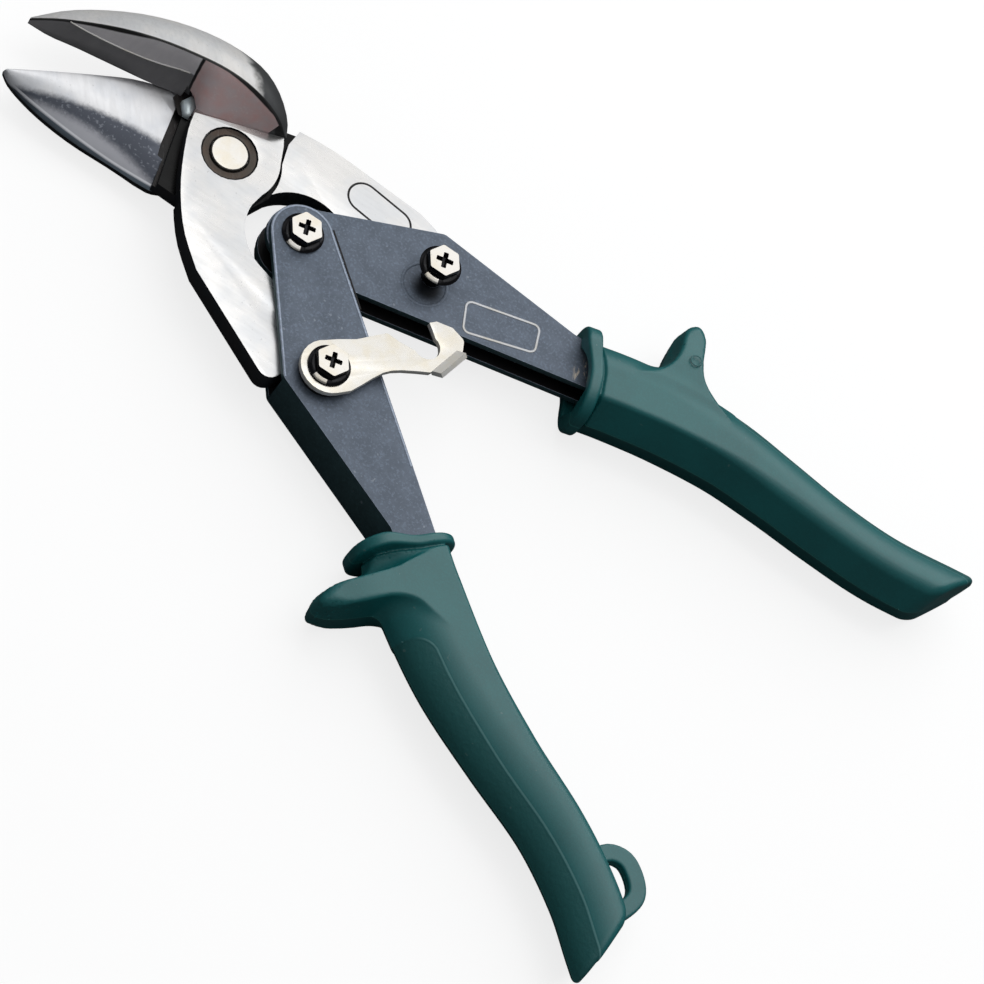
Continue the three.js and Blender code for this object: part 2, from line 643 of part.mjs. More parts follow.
const sleeveHalf = UPPER_CHANNEL_TOP - SHEET - RUNNING_GAP;
const linkSleeve = tube(HANDLE_PIVOT, pinBore, 3.7, -sleeveHalf, sleeveHalf);
const spacerBottom = -LOWER_CHANNEL_TOP + SHEET + RUNNING_GAP;
const spacer = tube(UPPER_SHANK_PIN, pinBore, 5.4, spacerBottom, UPPER_SHANK_BOTTOM - RUNNING_GAP);

const snips = new THREE.Group();
snips.add(
  piece('upper_blade', upperBlade(), steel),
  piece('lower_blade', lowerBlade(), steel),
  piece('blade_pivot_bolt', bladePivotBolt(), steel),
  piece('blade_pivot_ring', pivotRing, bronzed),
  piece('blade_pivot_washer', pivotWasher, zinc),
  piece('blade_pivot_nut', pivotNut, zinc),
  piece('lower_handle_channel', lowerChannel(), painted),
  piece('upper_handle_channel', upperChannel(), painted),
  piece('lower_grip', lowerGrip(), vinyl),
  piece('upper_grip', upperGrip(), vinyl),
  piece('link_screw', linkScrew, blackened),
  piece('link_nut', linkNut, zinc),
  piece('link_sleeve', linkSleeve, zinc),
  piece('return_spring', returnSpring(), blackened),
  piece('latch_screw', latchScrew, blackened),
  piece('latch_nut', latchNut, zinc),
  piece('latch_spring_washer', latchSpringWasher(), blackened),
  piece('latch_plate', latchPlate(), zinc),
  piece('shank_spacer', spacer, zinc),
  piece('catch_screw', catchScrew, blackened),
  piece('catch_nut', catchNut, zinc),
);

export default snips;
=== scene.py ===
"""Offset aviation snips: the finished look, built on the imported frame.

Lengths written with MM are millimetres turned into Blender's metres. Plan points and shape fields are
in millimetres, with heights measured from the plane where the two blades slide on each other.
"""

import json
import math

import bmesh
import bpy
import numpy as np
from mathutils import Matrix, Vector
from mathutils.bvhtree import BVHTree


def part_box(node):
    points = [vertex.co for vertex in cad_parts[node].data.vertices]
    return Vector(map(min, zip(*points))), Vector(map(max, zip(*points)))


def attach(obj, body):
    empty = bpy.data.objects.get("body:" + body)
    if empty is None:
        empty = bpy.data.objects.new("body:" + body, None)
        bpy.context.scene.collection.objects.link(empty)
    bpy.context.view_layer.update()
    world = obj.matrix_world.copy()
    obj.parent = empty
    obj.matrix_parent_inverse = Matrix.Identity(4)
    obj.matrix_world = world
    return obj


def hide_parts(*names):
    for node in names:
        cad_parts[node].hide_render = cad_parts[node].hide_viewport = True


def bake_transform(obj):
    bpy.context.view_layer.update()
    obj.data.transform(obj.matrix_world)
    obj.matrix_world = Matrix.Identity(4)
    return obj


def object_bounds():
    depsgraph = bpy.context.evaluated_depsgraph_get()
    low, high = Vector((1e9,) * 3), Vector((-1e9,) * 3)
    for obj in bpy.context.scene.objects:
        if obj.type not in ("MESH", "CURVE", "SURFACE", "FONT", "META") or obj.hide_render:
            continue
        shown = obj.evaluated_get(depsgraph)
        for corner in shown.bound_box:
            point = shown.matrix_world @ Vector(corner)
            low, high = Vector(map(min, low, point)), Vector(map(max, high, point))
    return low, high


MM = 0.001

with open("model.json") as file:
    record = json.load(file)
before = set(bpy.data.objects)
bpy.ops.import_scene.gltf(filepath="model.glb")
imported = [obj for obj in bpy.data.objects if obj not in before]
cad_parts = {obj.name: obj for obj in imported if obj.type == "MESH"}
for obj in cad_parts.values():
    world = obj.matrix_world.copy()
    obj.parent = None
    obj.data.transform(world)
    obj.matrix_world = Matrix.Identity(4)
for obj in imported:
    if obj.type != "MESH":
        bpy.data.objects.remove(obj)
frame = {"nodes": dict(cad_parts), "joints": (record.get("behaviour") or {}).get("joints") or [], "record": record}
cad_low, cad_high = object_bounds()

PIVOTS = {joint["name"]: Vector(joint["pos_m"]) for joint in frame["joints"]}
HANDLE_PIVOT = PIVOTS["handle_pivot"]
SLIDE = PIVOTS["blade_pivot"].z  # height of the plane where the blades slide on each other

BODIES = {node: body for body, nodes in frame["record"]["behaviour"]["bodies"].items() for node in nodes}


def middle(node):
    """The centre of a CAD node's box."""
    low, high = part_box(node)
    return (low + high) / 2


def at(x, y, height=0.0):
    """A place in metres from plan millimetres and a height above the slide plane."""
    return Vector((x * MM, y * MM, SLIDE + height * MM))


def to_plan(place):
    """The plan millimetres of a place in metres, and its height above the slide plane."""
    return Vector((place.x / MM, place.y / MM, (place.z - SLIDE) / MM))


# ---- shader helpers


def shade(value):
    """A colour from red, green and blue, or one grey."""
    red, green, blue = (value, value, value) if isinstance(value, float) else value
    return (red, green, blue, 1.0)


def tinted(colour, factors):
    """A colour with its channels multiplied by one factor, or by one each."""
    return tuple(np.multiply(colour, factors).tolist())


class Shader:
    """A node material being put together around one Principled surface.

    Node inputs are set by name, with _ for a space, from values or from other nodes' outputs. A colour is
    given as red, green and blue, or as one grey.
    """

    def __init__(self, name, **surface):
        self.material = bpy.data.materials.new(name)
        self.material.use_nodes = True
        self.tree = self.material.node_tree
        self.tree.nodes.clear()
        output = self.add("ShaderNodeOutputMaterial")
        self.surface = self.add("ShaderNodeBsdfPrincipled", **surface)
        self.tree.links.new(self.surface.outputs[0], output.inputs["Surface"])
        self.place = self.add("ShaderNodeTexCoord").outputs["Object"]

    def feed(self, socket, value):
        """Sets a socket to a value, or links it to another node's output."""
        if isinstance(value, bpy.types.NodeSocket):
            self.tree.links.new(value, socket)
        else:
            socket.default_value = shade(value) if socket.type == "RGBA" else value

    def wire(self, node, **inputs):
        for name, value in inputs.items():
            self.feed(node.inputs[name.replace("_", " ")], value)

    def add(self, kind, **inputs):
        """A new node with these inputs."""
        node = self.tree.nodes.new(kind)
        self.wire(node, **inputs)
        return node

    def set(self, **inputs):
        """Sets inputs of the surface itself."""
        self.wire(self.surface, **inputs)

    def noise(self, scale, detail=4.0, roughness=0.6, place=None):
        """Noise with this many features per metre."""
        node = self.add("ShaderNodeTexNoise", Scale=scale, Detail=detail, Roughness=roughness)
        self.tree.links.new(place or self.place, node.inputs["Vector"])
        return node.outputs["Fac"]

    def stretched(self, scale, turn=0.0):
        """Object coordinates stretched along one direction, for grain that runs that way."""
        turned = self.add("ShaderNodeMapping", Vector=self.place, Rotation=(0, 0, turn))
        return self.add("ShaderNodeMapping", Vector=turned.outputs[0], Scale=scale).outputs[0]

    def math(self, operation, *values, clamp=False):
        """A sum worked out from one to three values."""
        node = self.tree.nodes.new("ShaderNodeMath")
        node.operation = operation
        node.use_clamp = clamp
        for socket, value in zip(node.inputs, values):
            self.feed(socket, value)
        return node.outputs[0]

    def plus(self, first, second):
        return self.math("ADD", first, second)

    def minus(self, first, second):
        return self.math("SUBTRACT", first, second)

    def times(self, first, second):
        return self.math("MULTIPLY", first, second)

    def times_add(self, first, second, third):
        """first * second + third."""
        return self.math("MULTIPLY_ADD", first, second, third)

    def reach(self, x, y):
        """The length of a plan vector."""
        return self.math("SQRT", self.times_add(x, x, self.times(y, y)))

    def span(self, value, low, high, to_low=0.0, to_high=1.0):
        """Value carried smoothly from one range to another, and held at its ends."""
        node = self.tree.nodes.new("ShaderNodeMapRange")
        node.interpolation_type = "SMOOTHSTEP"
        self.tree.links.new(value, node.inputs["Value"])
        self.wire(node, From_Min=low, From_Max=high, To_Min=to_low, To_Max=to_high)
        return node.outputs[0]

    def mix(self, share, first, second):
        """A colour between two colours."""
        node = self.tree.nodes.new("ShaderNodeMix")
        node.data_type = "RGBA"
        for socket, value in ((node.inputs[0], share), (node.inputs[6], first), (node.inputs[7], second)):
            self.feed(socket, value)
        return node.outputs[2]

    def bump(self, height, depth, strength=1.0):
        """Adds relief of this depth, in metres, on top of any relief already there."""
        node = self.add("ShaderNodeBump", Height=height, Distance=depth, Strength=strength)
        links = self.surface.inputs["Normal"].links
        if links:
            self.tree.links.new(links[0].from_socket, node.inputs["Normal"])
        self.tree.links.new(node.outputs[0], self.surface.inputs["Normal"])

    def plan(self):
        """Plan millimetres x and y, and the height above the slide plane, as three values."""
        parts = self.add("ShaderNodeSeparateXYZ", Vector=self.place).outputs
        height = self.minus(parts["Z"], SLIDE)
        return [self.math("DIVIDE", part, MM) for part in (parts["X"], parts["Y"], height)]

    def curve(self, value, square, slope, start):
        """The value of square * v * v + slope * v + start."""
        return self.times_add(self.times_add(value, square, slope), value, start)

    def stripe(self, value, half_width, blur):
        """1 where a value is near zero, falling to 0 outside a half width."""
        return self.span(self.math("ABSOLUTE", value), half_width, half_width + blur, 1.0, 0.0)

    def overlay(self, share, colour):
        """Lays a colour over the base colour that the surface has so far."""
        below = self.surface.inputs["Base Color"].links[0].from_socket
        self.set(Base_Color=self.mix(share, below, colour))

    def attribute(self, name):
        """A value stored at the mesh's points."""
        node = self.tree.nodes.new("ShaderNodeAttribute")
        node.attribute_name = name
        return node.outputs["Fac"]


# ---- materials

def ground_steel(name, colour, roughness, mottling, grain_turn):
    """Ground and polished steel: fine parallel grain, faint cloudy mottling and small specks."""
    steel = Shader(name, Metallic=1.0)
    cloud = steel.span(steel.noise(70.0), 0.38, 0.66)
    grain = steel.noise(900.0, 3.0, 0.7, steel.stretched((0.12, 1.0, 1.0), grain_turn))
    speck = steel.span(steel.noise(1500.0, 2.0, 0.5), 0.68, 0.74)
    cool = tinted(tinted(colour, 1 - mottling), (0.97, 1.0, 1.04))
    tone = steel.mix(cloud, colour, cool)
    tone = steel.mix(steel.times(speck, 0.35), tone, 0.3)
    tone = steel.mix(steel.span(grain, 0.35, 0.75, 0.0, 0.16), tone, 0.42)
    rough = steel.times_add(grain, 0.14, roughness - 0.07)
    steel.set(Base_Color=tone, Roughness=steel.times_add(cloud, 0.05, rough))
    steel.bump(grain, 0.01 * MM, 0.5)
    return steel


def upper_back_steel():
    """The upper jaw's polished back, which darkens towards its heel."""
    steel = ground_steel("jaw_back_steel", (0.97, 0.95, 0.92), 0.40, 0.10, math.radians(35))
    steel.set(Metallic=0.2, Specular_IOR_Level=0.25)
    x, y, _ = steel.plan()
    below_ridge = steel.minus(ridge_line(steel, x), y)
    past_heel = steel.times_add(steel.plus(x, 14.0), 0.5, steel.times(steel.plus(y, -19.0), 0.87))
    wobble = steel.times_add(steel.noise(190.0, 3.0, 0.6), 5.0, -2.5)
    dark = steel.span(steel.plus(past_heel, wobble), -3.6, -0.8)
    steel.overlay(steel.times(dark, 0.93), (0.012, 0.015, 0.018))
    steel.overlay(steel.stripe(below_ridge, 0.5, 0.3), 0.02)
    return steel.material


def ridge_line(steel, x):
    """The plan height y of the upper jaw's sharp ridge at each x, as a cubic."""
    return steel.times_add(steel.curve(x, *RIDGE_FIT[:3]), x, RIDGE_FIT[3])


def lower_hub_steel():
    """The lower blade's hub and shank. The step's foot, just outside the upper blade's hub, is in shade."""
    steel = ground_steel("lower_blade_steel", (0.73, 0.717, 0.70), 0.27, 0.08, math.radians(-20))
    x, y, height = steel.plan()
    foot = steel.times(steel.span(steel.reach(x, y), 10.0, 10.3), steel.span(height, 0.2, 0.4, 1.0, 0.0))
    steel.overlay(foot, 0.015)
    return steel.material


def inner_wall_steel():
    """The upper jaw's inner wall: two ground bands with a painted highlight along the lip between them,
    painted shade in the crease and a rosy root.
    """
    steel = Shader("jaw_wall_steel", Metallic=0.1)
    x, y, height = steel.plan()
    grain = steel.noise(800.0, 3.0, 0.7, steel.stretched((1.0, 0.2, 0.2), math.radians(20)))
    speck = steel.span(steel.noise(1300.0, 3.0, 0.6), 0.58, 0.7, 0.0, 0.3)
    red = steel.span(steel.noise(130.0, 3.0, 0.55), 0.35, 0.75)
    over_lip = steel.minus(height, steel.curve(x, *WALL_LIP))
    low = steel.mix(grain, (0.22, 0.215, 0.225), (0.32, 0.31, 0.32))
    high = steel.mix(grain, (0.76, 0.73, 0.76), (0.96, 0.92, 0.94))
    tone = steel.mix(steel.span(over_lip, -0.1, 0.2), low, high)
    before_root = steel.span(x, -24.0, -20.0, 1.0, 0.0)
    # A painted highlight along the lip between the two bands.
    lip = steel.times(steel.stripe(over_lip, 0.1, 0.22), steel.span(x, -50.0, -44.0))
    tone = steel.mix(steel.times(lip, steel.times_add(before_root, 0.5, 0.35)), tone, (0.92, 0.95, 1.0))
    root = steel.mix(red, (0.72, 0.62, 0.63), (0.80, 0.50, 0.48))
    root = steel.mix(speck, root, (0.9, 0.8, 0.78))
    past_crease = steel.plus(steel.times_add(height, 0.176, x), 17.7)
    tone = steel.mix(steel.span(past_crease, -0.15, 0.15), tone, root)
    # Painted shade in the crease.
    tone = steel.mix(steel.stripe(past_crease, 0.22, 0.3), tone, CREVICE_SHADE)
    below_ridge = steel.minus(ridge_line(steel, x), y)
    tone = steel.mix(steel.span(below_ridge, 0.1, 0.3, 1.0, 0.0), tone, 0.02)
    steel.set(Base_Color=tone, Roughness=steel.times_add(grain, 0.25, 0.34))
    steel.bump(grain, 0.03 * MM, 0.5)
    return steel.material


def lower_jaw_steel():
    """The lower jaw's top: polished near the cutting edge, then a dark speckled band and a grey one, both
    painted shade, with a painted highlight along its far rim and painted shade beyond it.

    A groove painted black as shade crosses its root, with a grey strip of painted shade along it that
    narrows towards the cutting edge.
    """
    steel = ground_steel("lower_jaw_steel", (0.62, 0.62, 0.63), 0.32, 0.10, math.radians(30))
    x, y, _ = steel.plan()
    # Painted shade in two bands across the jaw's top, with wavy edges.
    wobble = steel.times_add(steel.noise(700.0, 4.0, 0.75), 1.8, -0.9)
    near = steel.minus(steel.plus(y, wobble), steel.curve(x, *NEAR_BAND))
    far = steel.minus(steel.plus(y, wobble), steel.curve(x, *FAR_BAND))
    rim = steel.minus(y, steel.curve(x, *FAR_RIM))
    speck = steel.span(steel.noise(1100.0, 2.0, 0.5), 0.56, 0.68, 0.0, 0.35)
    band_shade = steel.mix(speck, (0.075, 0.082, 0.1), (0.3, 0.32, 0.36))
    past_near = steel.span(near, -1.7, 0.7, 1.0, 0.0)
    past_far = steel.span(far, -1.7, 1.1, 1.0, 0.0)
    steel.overlay(past_near, band_shade)
    steel.overlay(past_far, (0.34, 0.345, 0.375))
    # A painted highlight along the far rim, then painted shade beyond it.
    steel.overlay(steel.times(steel.stripe(rim, 0.12, 0.22), 0.9), (0.6, 0.61, 0.64))
    steel.overlay(steel.span(rim, -0.55, -0.35, 1.0, 0.0), (0.085, 0.105, 0.125))
    past_groove = steel.times_add(y, 0.65, steel.plus(x, 15.0))
    # Painted black shade in the groove at the root.
    steel.overlay(steel.span(past_groove, -0.5, -0.3), CREVICE_SHADE)
    steel.overlay(steel.stripe(past_groove, 0.1, 0.15), (0.24, 0.13, 0.08))
    # A grey strip of painted shade beside the groove, narrowing towards the cutting edge.
    half_strip = steel.span(y, -17.7, -9.6, 2.0, 0.0)
    inside_strip = steel.minus(half_strip, steel.math("ABSOLUTE", steel.minus(past_groove, half_strip)))
    steel.overlay(steel.span(inside_strip, 0.2, 0.4), (0.1, 0.102, 0.115))
    return steel.material


def dark_forging(name, colour, roughness, metallic=0.8):
    """Dark metal with coarse grain and reddish patches, for the bronzed ring and, as painted shade, for
    the blades' side walls and dark edges.
    """
    steel = Shader(name, Metallic=metallic)
    cloud = steel.span(steel.noise(160.0), 0.35, 0.68)
    grain = steel.noise(1500.0, 4.0, 0.75, steel.stretched((0.18, 1.0, 1.0), math.radians(35)))
    warm = tinted(colour, (1.2, 0.98, 0.9))
    tone = steel.mix(cloud, colour, warm)
    tone = steel.mix(steel.span(grain, 0.55, 0.85, 0.0, 0.25), tone, 0.4)
    steel.set(Base_Color=tone, Roughness=steel.times_add(grain, 0.3, roughness - 0.15))
    steel.bump(grain, 0.02 * MM, 0.5)
    return steel.material


def satin_coating(name, colour, worn_points=()):
    """The handles' blue-grey coating: finely mottled, slightly metallic, worn through at given points."""
    coat = Shader(name, Metallic=0.35)
    fine = coat.noise(1500.0, 3.0, 0.65)
    broad = coat.noise(260.0, 5.0, 0.65)
    tone = coat.mix(coat.span(broad, 0.36, 0.64), tinted(colour, 0.92), tinted(colour, 1.1))
    tone = coat.mix(coat.span(fine, 0.48, 0.68, 0.0, 0.42), tone, tinted(colour, 2.0))
    fleck = coat.span(coat.noise(900.0, 0.0), 0.83, 0.86, 0.0, 0.5)
    tone = coat.mix(fleck, tone, (0.36, 0.4, 0.46))
    rough = coat.times_add(fine, 0.16, 0.38)
    scratch = coat.span(coat.noise(520.0, 6.0, 0.7, coat.stretched((0.25, 1.0, 1.0), 0.9)), 0.53, 0.6)
    metal = 0.0
    for x, y, reach in worn_points:
        near = coat.add("ShaderNodeVectorMath", Vector=coat.place)
        near.operation = "DISTANCE"
        near.inputs[1].default_value = at(x, y, 4.3)
        patch = coat.span(near.outputs["Value"], reach * 0.35 * MM, reach * MM, 1.0, 0.0)
        metal = coat.math("MULTIPLY_ADD", patch, scratch, metal, clamp=True)
    if worn_points:
        tone = coat.mix(metal, tone, (0.70, 0.62, 0.52))
    coat.set(Base_Color=tone, Roughness=rough)
    coat.bump(fine, 0.02 * MM, 0.5)
    coat.bump(broad, 0.03 * MM, 0.3)
    return coat


def flange_coating():
    """The flanges' coating, with a painted shadow in the dish round the catch screw's neck."""
    worn_points = ((91.5, 41, 3.6), (90.5, 38, 3.6), (92, 35.5, 3))
    coat = satin_coating("handle_coating", (0.128, 0.158, 0.205), worn_points)
    x, y, _ = coat.plan()
    # Painted shadow of the catch screw's head, darkest a little off the dish's middle.
    reach = coat.reach(coat.plus(x, -DISH[0] - 1.3), coat.plus(y, -DISH[1]))
    coat.overlay(coat.span(reach, 1.6, 5.2, 0.93, 0.0), (0.008, 0.009, 0.012))
    return coat.material


def moulded_vinyl():
    """The grips: satin green vinyl with a mould line, a painted highlight along the panel's edge and finely
    grained side panels.
    """
    vinyl = Shader("moulded_vinyl", Metallic=0.0)
    panel_edge = vinyl.attribute("panel_edge")
    panel = vinyl.span(panel_edge, -0.1, 0.4)
    height = vinyl.plan()[2]
    cloud = vinyl.span(vinyl.noise(80.0), 0.3, 0.7)
    skin = vinyl.noise(2200.0, 3.0, 0.6)
    leather = vinyl.noise(800.0, 2.0, 0.55)
    fleck = vinyl.span(vinyl.noise(800.0, 0.0), 0.85, 0.87)
    tone = vinyl.mix(cloud, (0.001, 0.138, 0.144), (0.002, 0.162, 0.168))
    tone = vinyl.mix(vinyl.span(skin, 0.4, 0.75, 0.0, 0.3), tone, (0.012, 0.24, 0.245))
    tone = vinyl.mix(vinyl.times(panel, 0.55), tone, (0.002, 0.105, 0.102))
    # A painted highlight along the side panel's edge.
    line = vinyl.times(vinyl.stripe(panel_edge, 0.08, 0.16), vinyl.attribute("highlight_strength"))
    seam = vinyl.times(vinyl.stripe(height, 0.1, 0.14), vinyl.span(vinyl.noise(45.0), 0.32, 0.44, 0.3, 1.0))
    tone = vinyl.mix(vinyl.times(line, 0.8), tone, (0.17, 0.42, 0.42))
    tone = vinyl.mix(vinyl.times(seam, 0.75), tone, (0.06, 0.36, 0.33))
    tone = vinyl.mix(vinyl.times(fleck, 0.4), tone, (0.16, 0.28, 0.27))
    rough = vinyl.times_add(panel, 0.1, 0.38)
    vinyl.set(Base_Color=tone, Roughness=vinyl.times_add(skin, 0.1, rough))
    vinyl.set(Specular_IOR_Level=0.95)
    vinyl.bump(skin, 0.012 * MM, 0.5)
    vinyl.bump(vinyl.times(leather, panel), 0.14 * MM, 0.8)
    return vinyl.material


def plated(name, colour, roughness, metallic=1.0):
    """Bright zinc plating with a faint warm bloom."""
    zinc = Shader(name, Metallic=metallic)
    bloom = zinc.span(zinc.noise(200.0, 5.0), 0.35, 0.7)
    warm = tinted(colour, (0.97, 0.93, 0.84))
    fine = zinc.noise(1800.0, 3.0, 0.6)
    speck = zinc.span(zinc.noise(900.0, 2.0, 0.5), 0.7, 0.76, 0.0, 0.3)
    tone = zinc.mix(bloom, colour, warm)
    zinc.set(Base_Color=zinc.mix(speck, tone, 0.35))
    zinc.set(Roughness=zinc.times_add(fine, 0.18, roughness - 0.09))
    zinc.bump(fine, 0.01 * MM, 0.5)
    return zinc.material


def blackened(name):
    """Oil-blackened steel, shiny and nearly black, with rubbed specks."""
    black = Shader(name, Metallic=0.6)
    rub = black.span(black.noise(1100.0, 4.0, 0.7), 0.6, 0.75)
    tone = black.mix(black.times(rub, 0.25), (0.010, 0.010, 0.012), 0.22)
    black.set(Base_Color=tone, Roughness=black.times_add(rub, 0.2, 0.2))
    black.bump(black.noise(1500.0), 0.012 * MM, 0.5)
    return black.material


def paper_floor():
    """A seamless sweep with the faintest grain, pale to the camera only, so that the sides stay dark."""
    paper = Shader("paper_floor", Metallic=0.0)
    cloud = paper.noise(6.0)
    seen = paper.add("ShaderNodeLightPath").outputs["Is Camera Ray"]
    pale = paper.mix(cloud, 0.30, 0.33)
    paper.set(Emission_Color=1.0, Emission_Strength=paper.times(seen, 0.8))
    paper.set(Base_Color=paper.mix(seen, FLOOR_BOUNCE, pale))
    paper.set(Roughness=0.8, Specular_IOR_Level=0.1)
    paper.bump(paper.noise(900.0), 0.01 * MM, 0.3)
    return paper.material


FLOOR_BOUNCE = 0.08  # how pale the floor is to everything but the camera
# Painted shade for the crease on the upper jaw's wall and the groove at the lower jaw's root.
CREVICE_SHADE = (0.012, 0.012, 0.014)
DISH = (51.8, 18.6)  # the middle of the dish round the catch screw, in plan

# Quadratics over x, in millimetres: the height of the lip on the upper jaw's inner wall, and the plan
# lines on the lower jaw's top where its dark band of painted shade begins, where its grey band of
# painted shade begins, and its far rim.
WALL_LIP = (0.0078, 0.6026, 16.87)
NEAR_BAND = (-0.0107, 0.1087, -5.88)
FAR_BAND = (-0.0123, -0.1798, -17.53)
FAR_RIM = (0.001, 0.396, -15.2)

# The sharp ridge between the upper jaw's inner wall and its back, in plan from the tip to the hub.
RIDGE_X = (-53.4, -48.9, -43.6, -37.0, -29.0, -21.6, -15.5, -10.0, -4.7, 0.9)
RIDGE_Y = (-17.2, -13.6, -9.4, -4.4, 0.3, 4.6, 7.6, 10.4, 12.3, 13.2)
RIDGE_FIT = np.polyfit(RIDGE_X, RIDGE_Y, 3)

BLADE = ground_steel("blade_steel", (0.73, 0.717, 0.70), 0.27, 0.08, math.radians(-20)).material
LOWER_BLADE = lower_hub_steel()
BACK = upper_back_steel()
LOWER_JAW = lower_jaw_steel()
WALL = inner_wall_steel()
# Painted shade: the blades' side walls take this darker steel instead of the tops' ground steel.
SIDE_SHADE = dark_forging("blade_side_shade", (0.06, 0.072, 0.085), 0.4)
# Painted shade: near-black rounded edges of the blades, latch and pivot, the lower jaw's groove and the notch's
# floor.
EDGE_SHADE = dark_forging("blade_edge_shade", (0.018, 0.017, 0.017), 0.4, 0.5)
# Painted highlight: the bright bluish pad in the upper jaw's heel notch.
NOTCH_HIGHLIGHT = plated("notch_facet", (0.80, 0.92, 1.0), 0.35, 0.4)
COATING = flange_coating()
# Painted shade: the darker coating on the webs' outer sides.
COATING_SIDE_SHADE = satin_coating("handle_coating_side_shade", (0.05, 0.105, 0.12)).material
# Painted highlight: the light coating on the channels' rounded edges and along the lower flange's edge.
COATING_HIGHLIGHT = satin_coating("handle_coating_highlight", (0.36, 0.42, 0.52)).material
# Painted shade: the near-black coating inside the channels.
COATING_INSIDE_SHADE = satin_coating("handle_coating_inside_shade", (0.006, 0.006, 0.007)).material
VINYL = moulded_vinyl()
ZINC = plated("latch_zinc", (0.74, 0.72, 0.68), 0.28)
# Painted highlight: the latch's sheared sides and tab, and the lip on the upper jaw's inner wall.
ZINC_HIGHLIGHT = plated("latch_zinc_highlight", (0.95, 0.94, 0.92), 0.5, 0.15)
PLATED = plated("plated_steel", (0.60, 0.60, 0.58), 0.3)
CREAM_STEEL = plated("polished_head", (0.80, 0.775, 0.73), 0.22)
BLACK = blackened("blackened_steel")
BRONZE = dark_forging("bronzed_ring", (0.066, 0.058, 0.05), 0.3)
# Painted shadow: the dark outline of the shank's stamping and the line in the gap between the flanges.
PAINTED_SHADOW = Shader("stamping_shadow", Metallic=0.3, Base_Color=0.015, Roughness=0.55).material
PALE_LINE = plated("badge_border", (0.52, 0.53, 0.55), 0.4)


# ---- mesh helpers

def new_object(name, data):
    """An object in the scene."""
    piece = bpy.data.objects.new(name, data)
    bpy.context.scene.collection.objects.link(piece)
    return piece


def evaluated_mesh(piece):
    """The mesh of a piece with its modifiers, or its curve's thickness, worked in."""
    graph = bpy.context.evaluated_depsgraph_get()
    return bpy.data.meshes.new_from_object(piece.evaluated_get(graph))


def dressed(piece, *materials):
    """The piece with these materials added."""
    for material in materials:
        piece.data.materials.append(material)
    return piece


def place(piece, node, stands_in=False):
    """Puts a piece on a CAD node's body. A piece that stands in takes the node's stead."""
    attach(piece, BODIES[node])
    if stands_in:
        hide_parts(node)


def refined(node, edge, materials, paint=lambda corners, normal: 0):
    """A CAD node with its flats merged and its hard edges rounded, by this much in millimetres.

    Paint gives each face's place in the materials, and the rounding takes the second of them.
    """
    mesh = frame["nodes"][node].data.copy()
    mesh.materials.clear()
    work = bmesh.new()
    work.from_mesh(mesh)
    bmesh.ops.remove_doubles(work, verts=work.verts, dist=0.004 * MM)
    bmesh.ops.dissolve_limit(work, angle_limit=math.radians(0.6), verts=work.verts, edges=work.edges)
    for face in work.faces:
        face.smooth = True
        face.material_index = paint([to_plan(vertex.co) for vertex in face.verts], face.normal)
    work.to_mesh(mesh)
    work.free()
    piece = dressed(new_object(node + "_finished", mesh), *materials)
    rounding = piece.modifiers.new("rounding", "BEVEL")
    rounding.width = edge * MM
    rounding.segments = 3
    rounding.limit_method = "ANGLE"
    rounding.angle_limit = math.radians(32)
    rounding.harden_normals = True
    rounding.material = 1
    rounded = evaluated_mesh(piece)
    rounded.name = piece.name
    piece.modifiers.clear()
    piece.data = rounded
    place(piece, node, stands_in=True)


def finished_mesh(name, work, sharp=35.0):
    """A smooth-shaded object from a bmesh, with hard edges kept sharp."""
    bmesh.ops.recalc_face_normals(work, faces=work.faces)
    for face in work.faces:
        face.smooth = True
    mesh = bpy.data.meshes.new(name)
    work.to_mesh(mesh)
    work.free()
    mesh.set_sharp_from_angle(angle=math.radians(sharp))
    return new_object(name, mesh)


def loft(name, rings, closed=False, sharp=35.0):
    """A skin over rings of points that all have the same number of points, or one point at an end."""
    work = bmesh.new()
    loops = [[work.verts.new(point) for point in ring] for ring in rings]
    pairs = list(zip(loops, loops[1:]))
    if closed:
        pairs.append((loops[-1], loops[0]))
    for lower, upper in pairs:
        count = max(len(lower), len(upper))
        for side in range(count):
            after = (side + 1) % count
            corners = [lower[side % len(lower)], lower[after % len(lower)],
                       upper[after % len(upper)], upper[side % len(upper)]]
            work.faces.new(list(dict.fromkeys(corners)))
    return finished_mesh(name, work, sharp)


def round_ring(centre, radius, height, sides=96):
    """Points of a level circle, or of a level curve whose radius is a function of the angle."""
    reach = radius if callable(radius) else (lambda angle: radius)
    angles = [2 * math.pi * side / sides for side in range(sides)]
    return [(centre.x + reach(t) * math.cos(t), centre.y + reach(t) * math.sin(t), height) for t in angles]


def hexagon_reach(flats, twist=0.0):
    """The radius of a hexagon at each angle."""
    return lambda angle: flats / 2 / math.cos((angle - twist) % (math.pi / 3) - math.pi / 6)


def wire_loop(name, points, radius, closed=False, flatten=1.0):
    """A round or flattened wire along points, as a mesh."""
    curve = bpy.data.curves.new(name, "CURVE")
    curve.dimensions = "3D"
    curve.bevel_depth = radius
    curve.bevel_resolution = 3
    curve.use_fill_caps = not closed
    spline = curve.splines.new("POLY")
    spline.points.add(len(points) - 1)
    for knot, point in zip(spline.points, points):
        knot.co = (*point, 1.0)
    spline.use_cyclic_u = closed
    spline.use_smooth = True
    loose = new_object(name + "_curve", curve)
    mesh = evaluated_mesh(loose)
    bpy.data.objects.remove(loose)
    if flatten != 1.0:
        height = points[0][2]
        for vertex in mesh.vertices:
            vertex.co.z = height + (vertex.co.z - height) * flatten
    return new_object(name, mesh)


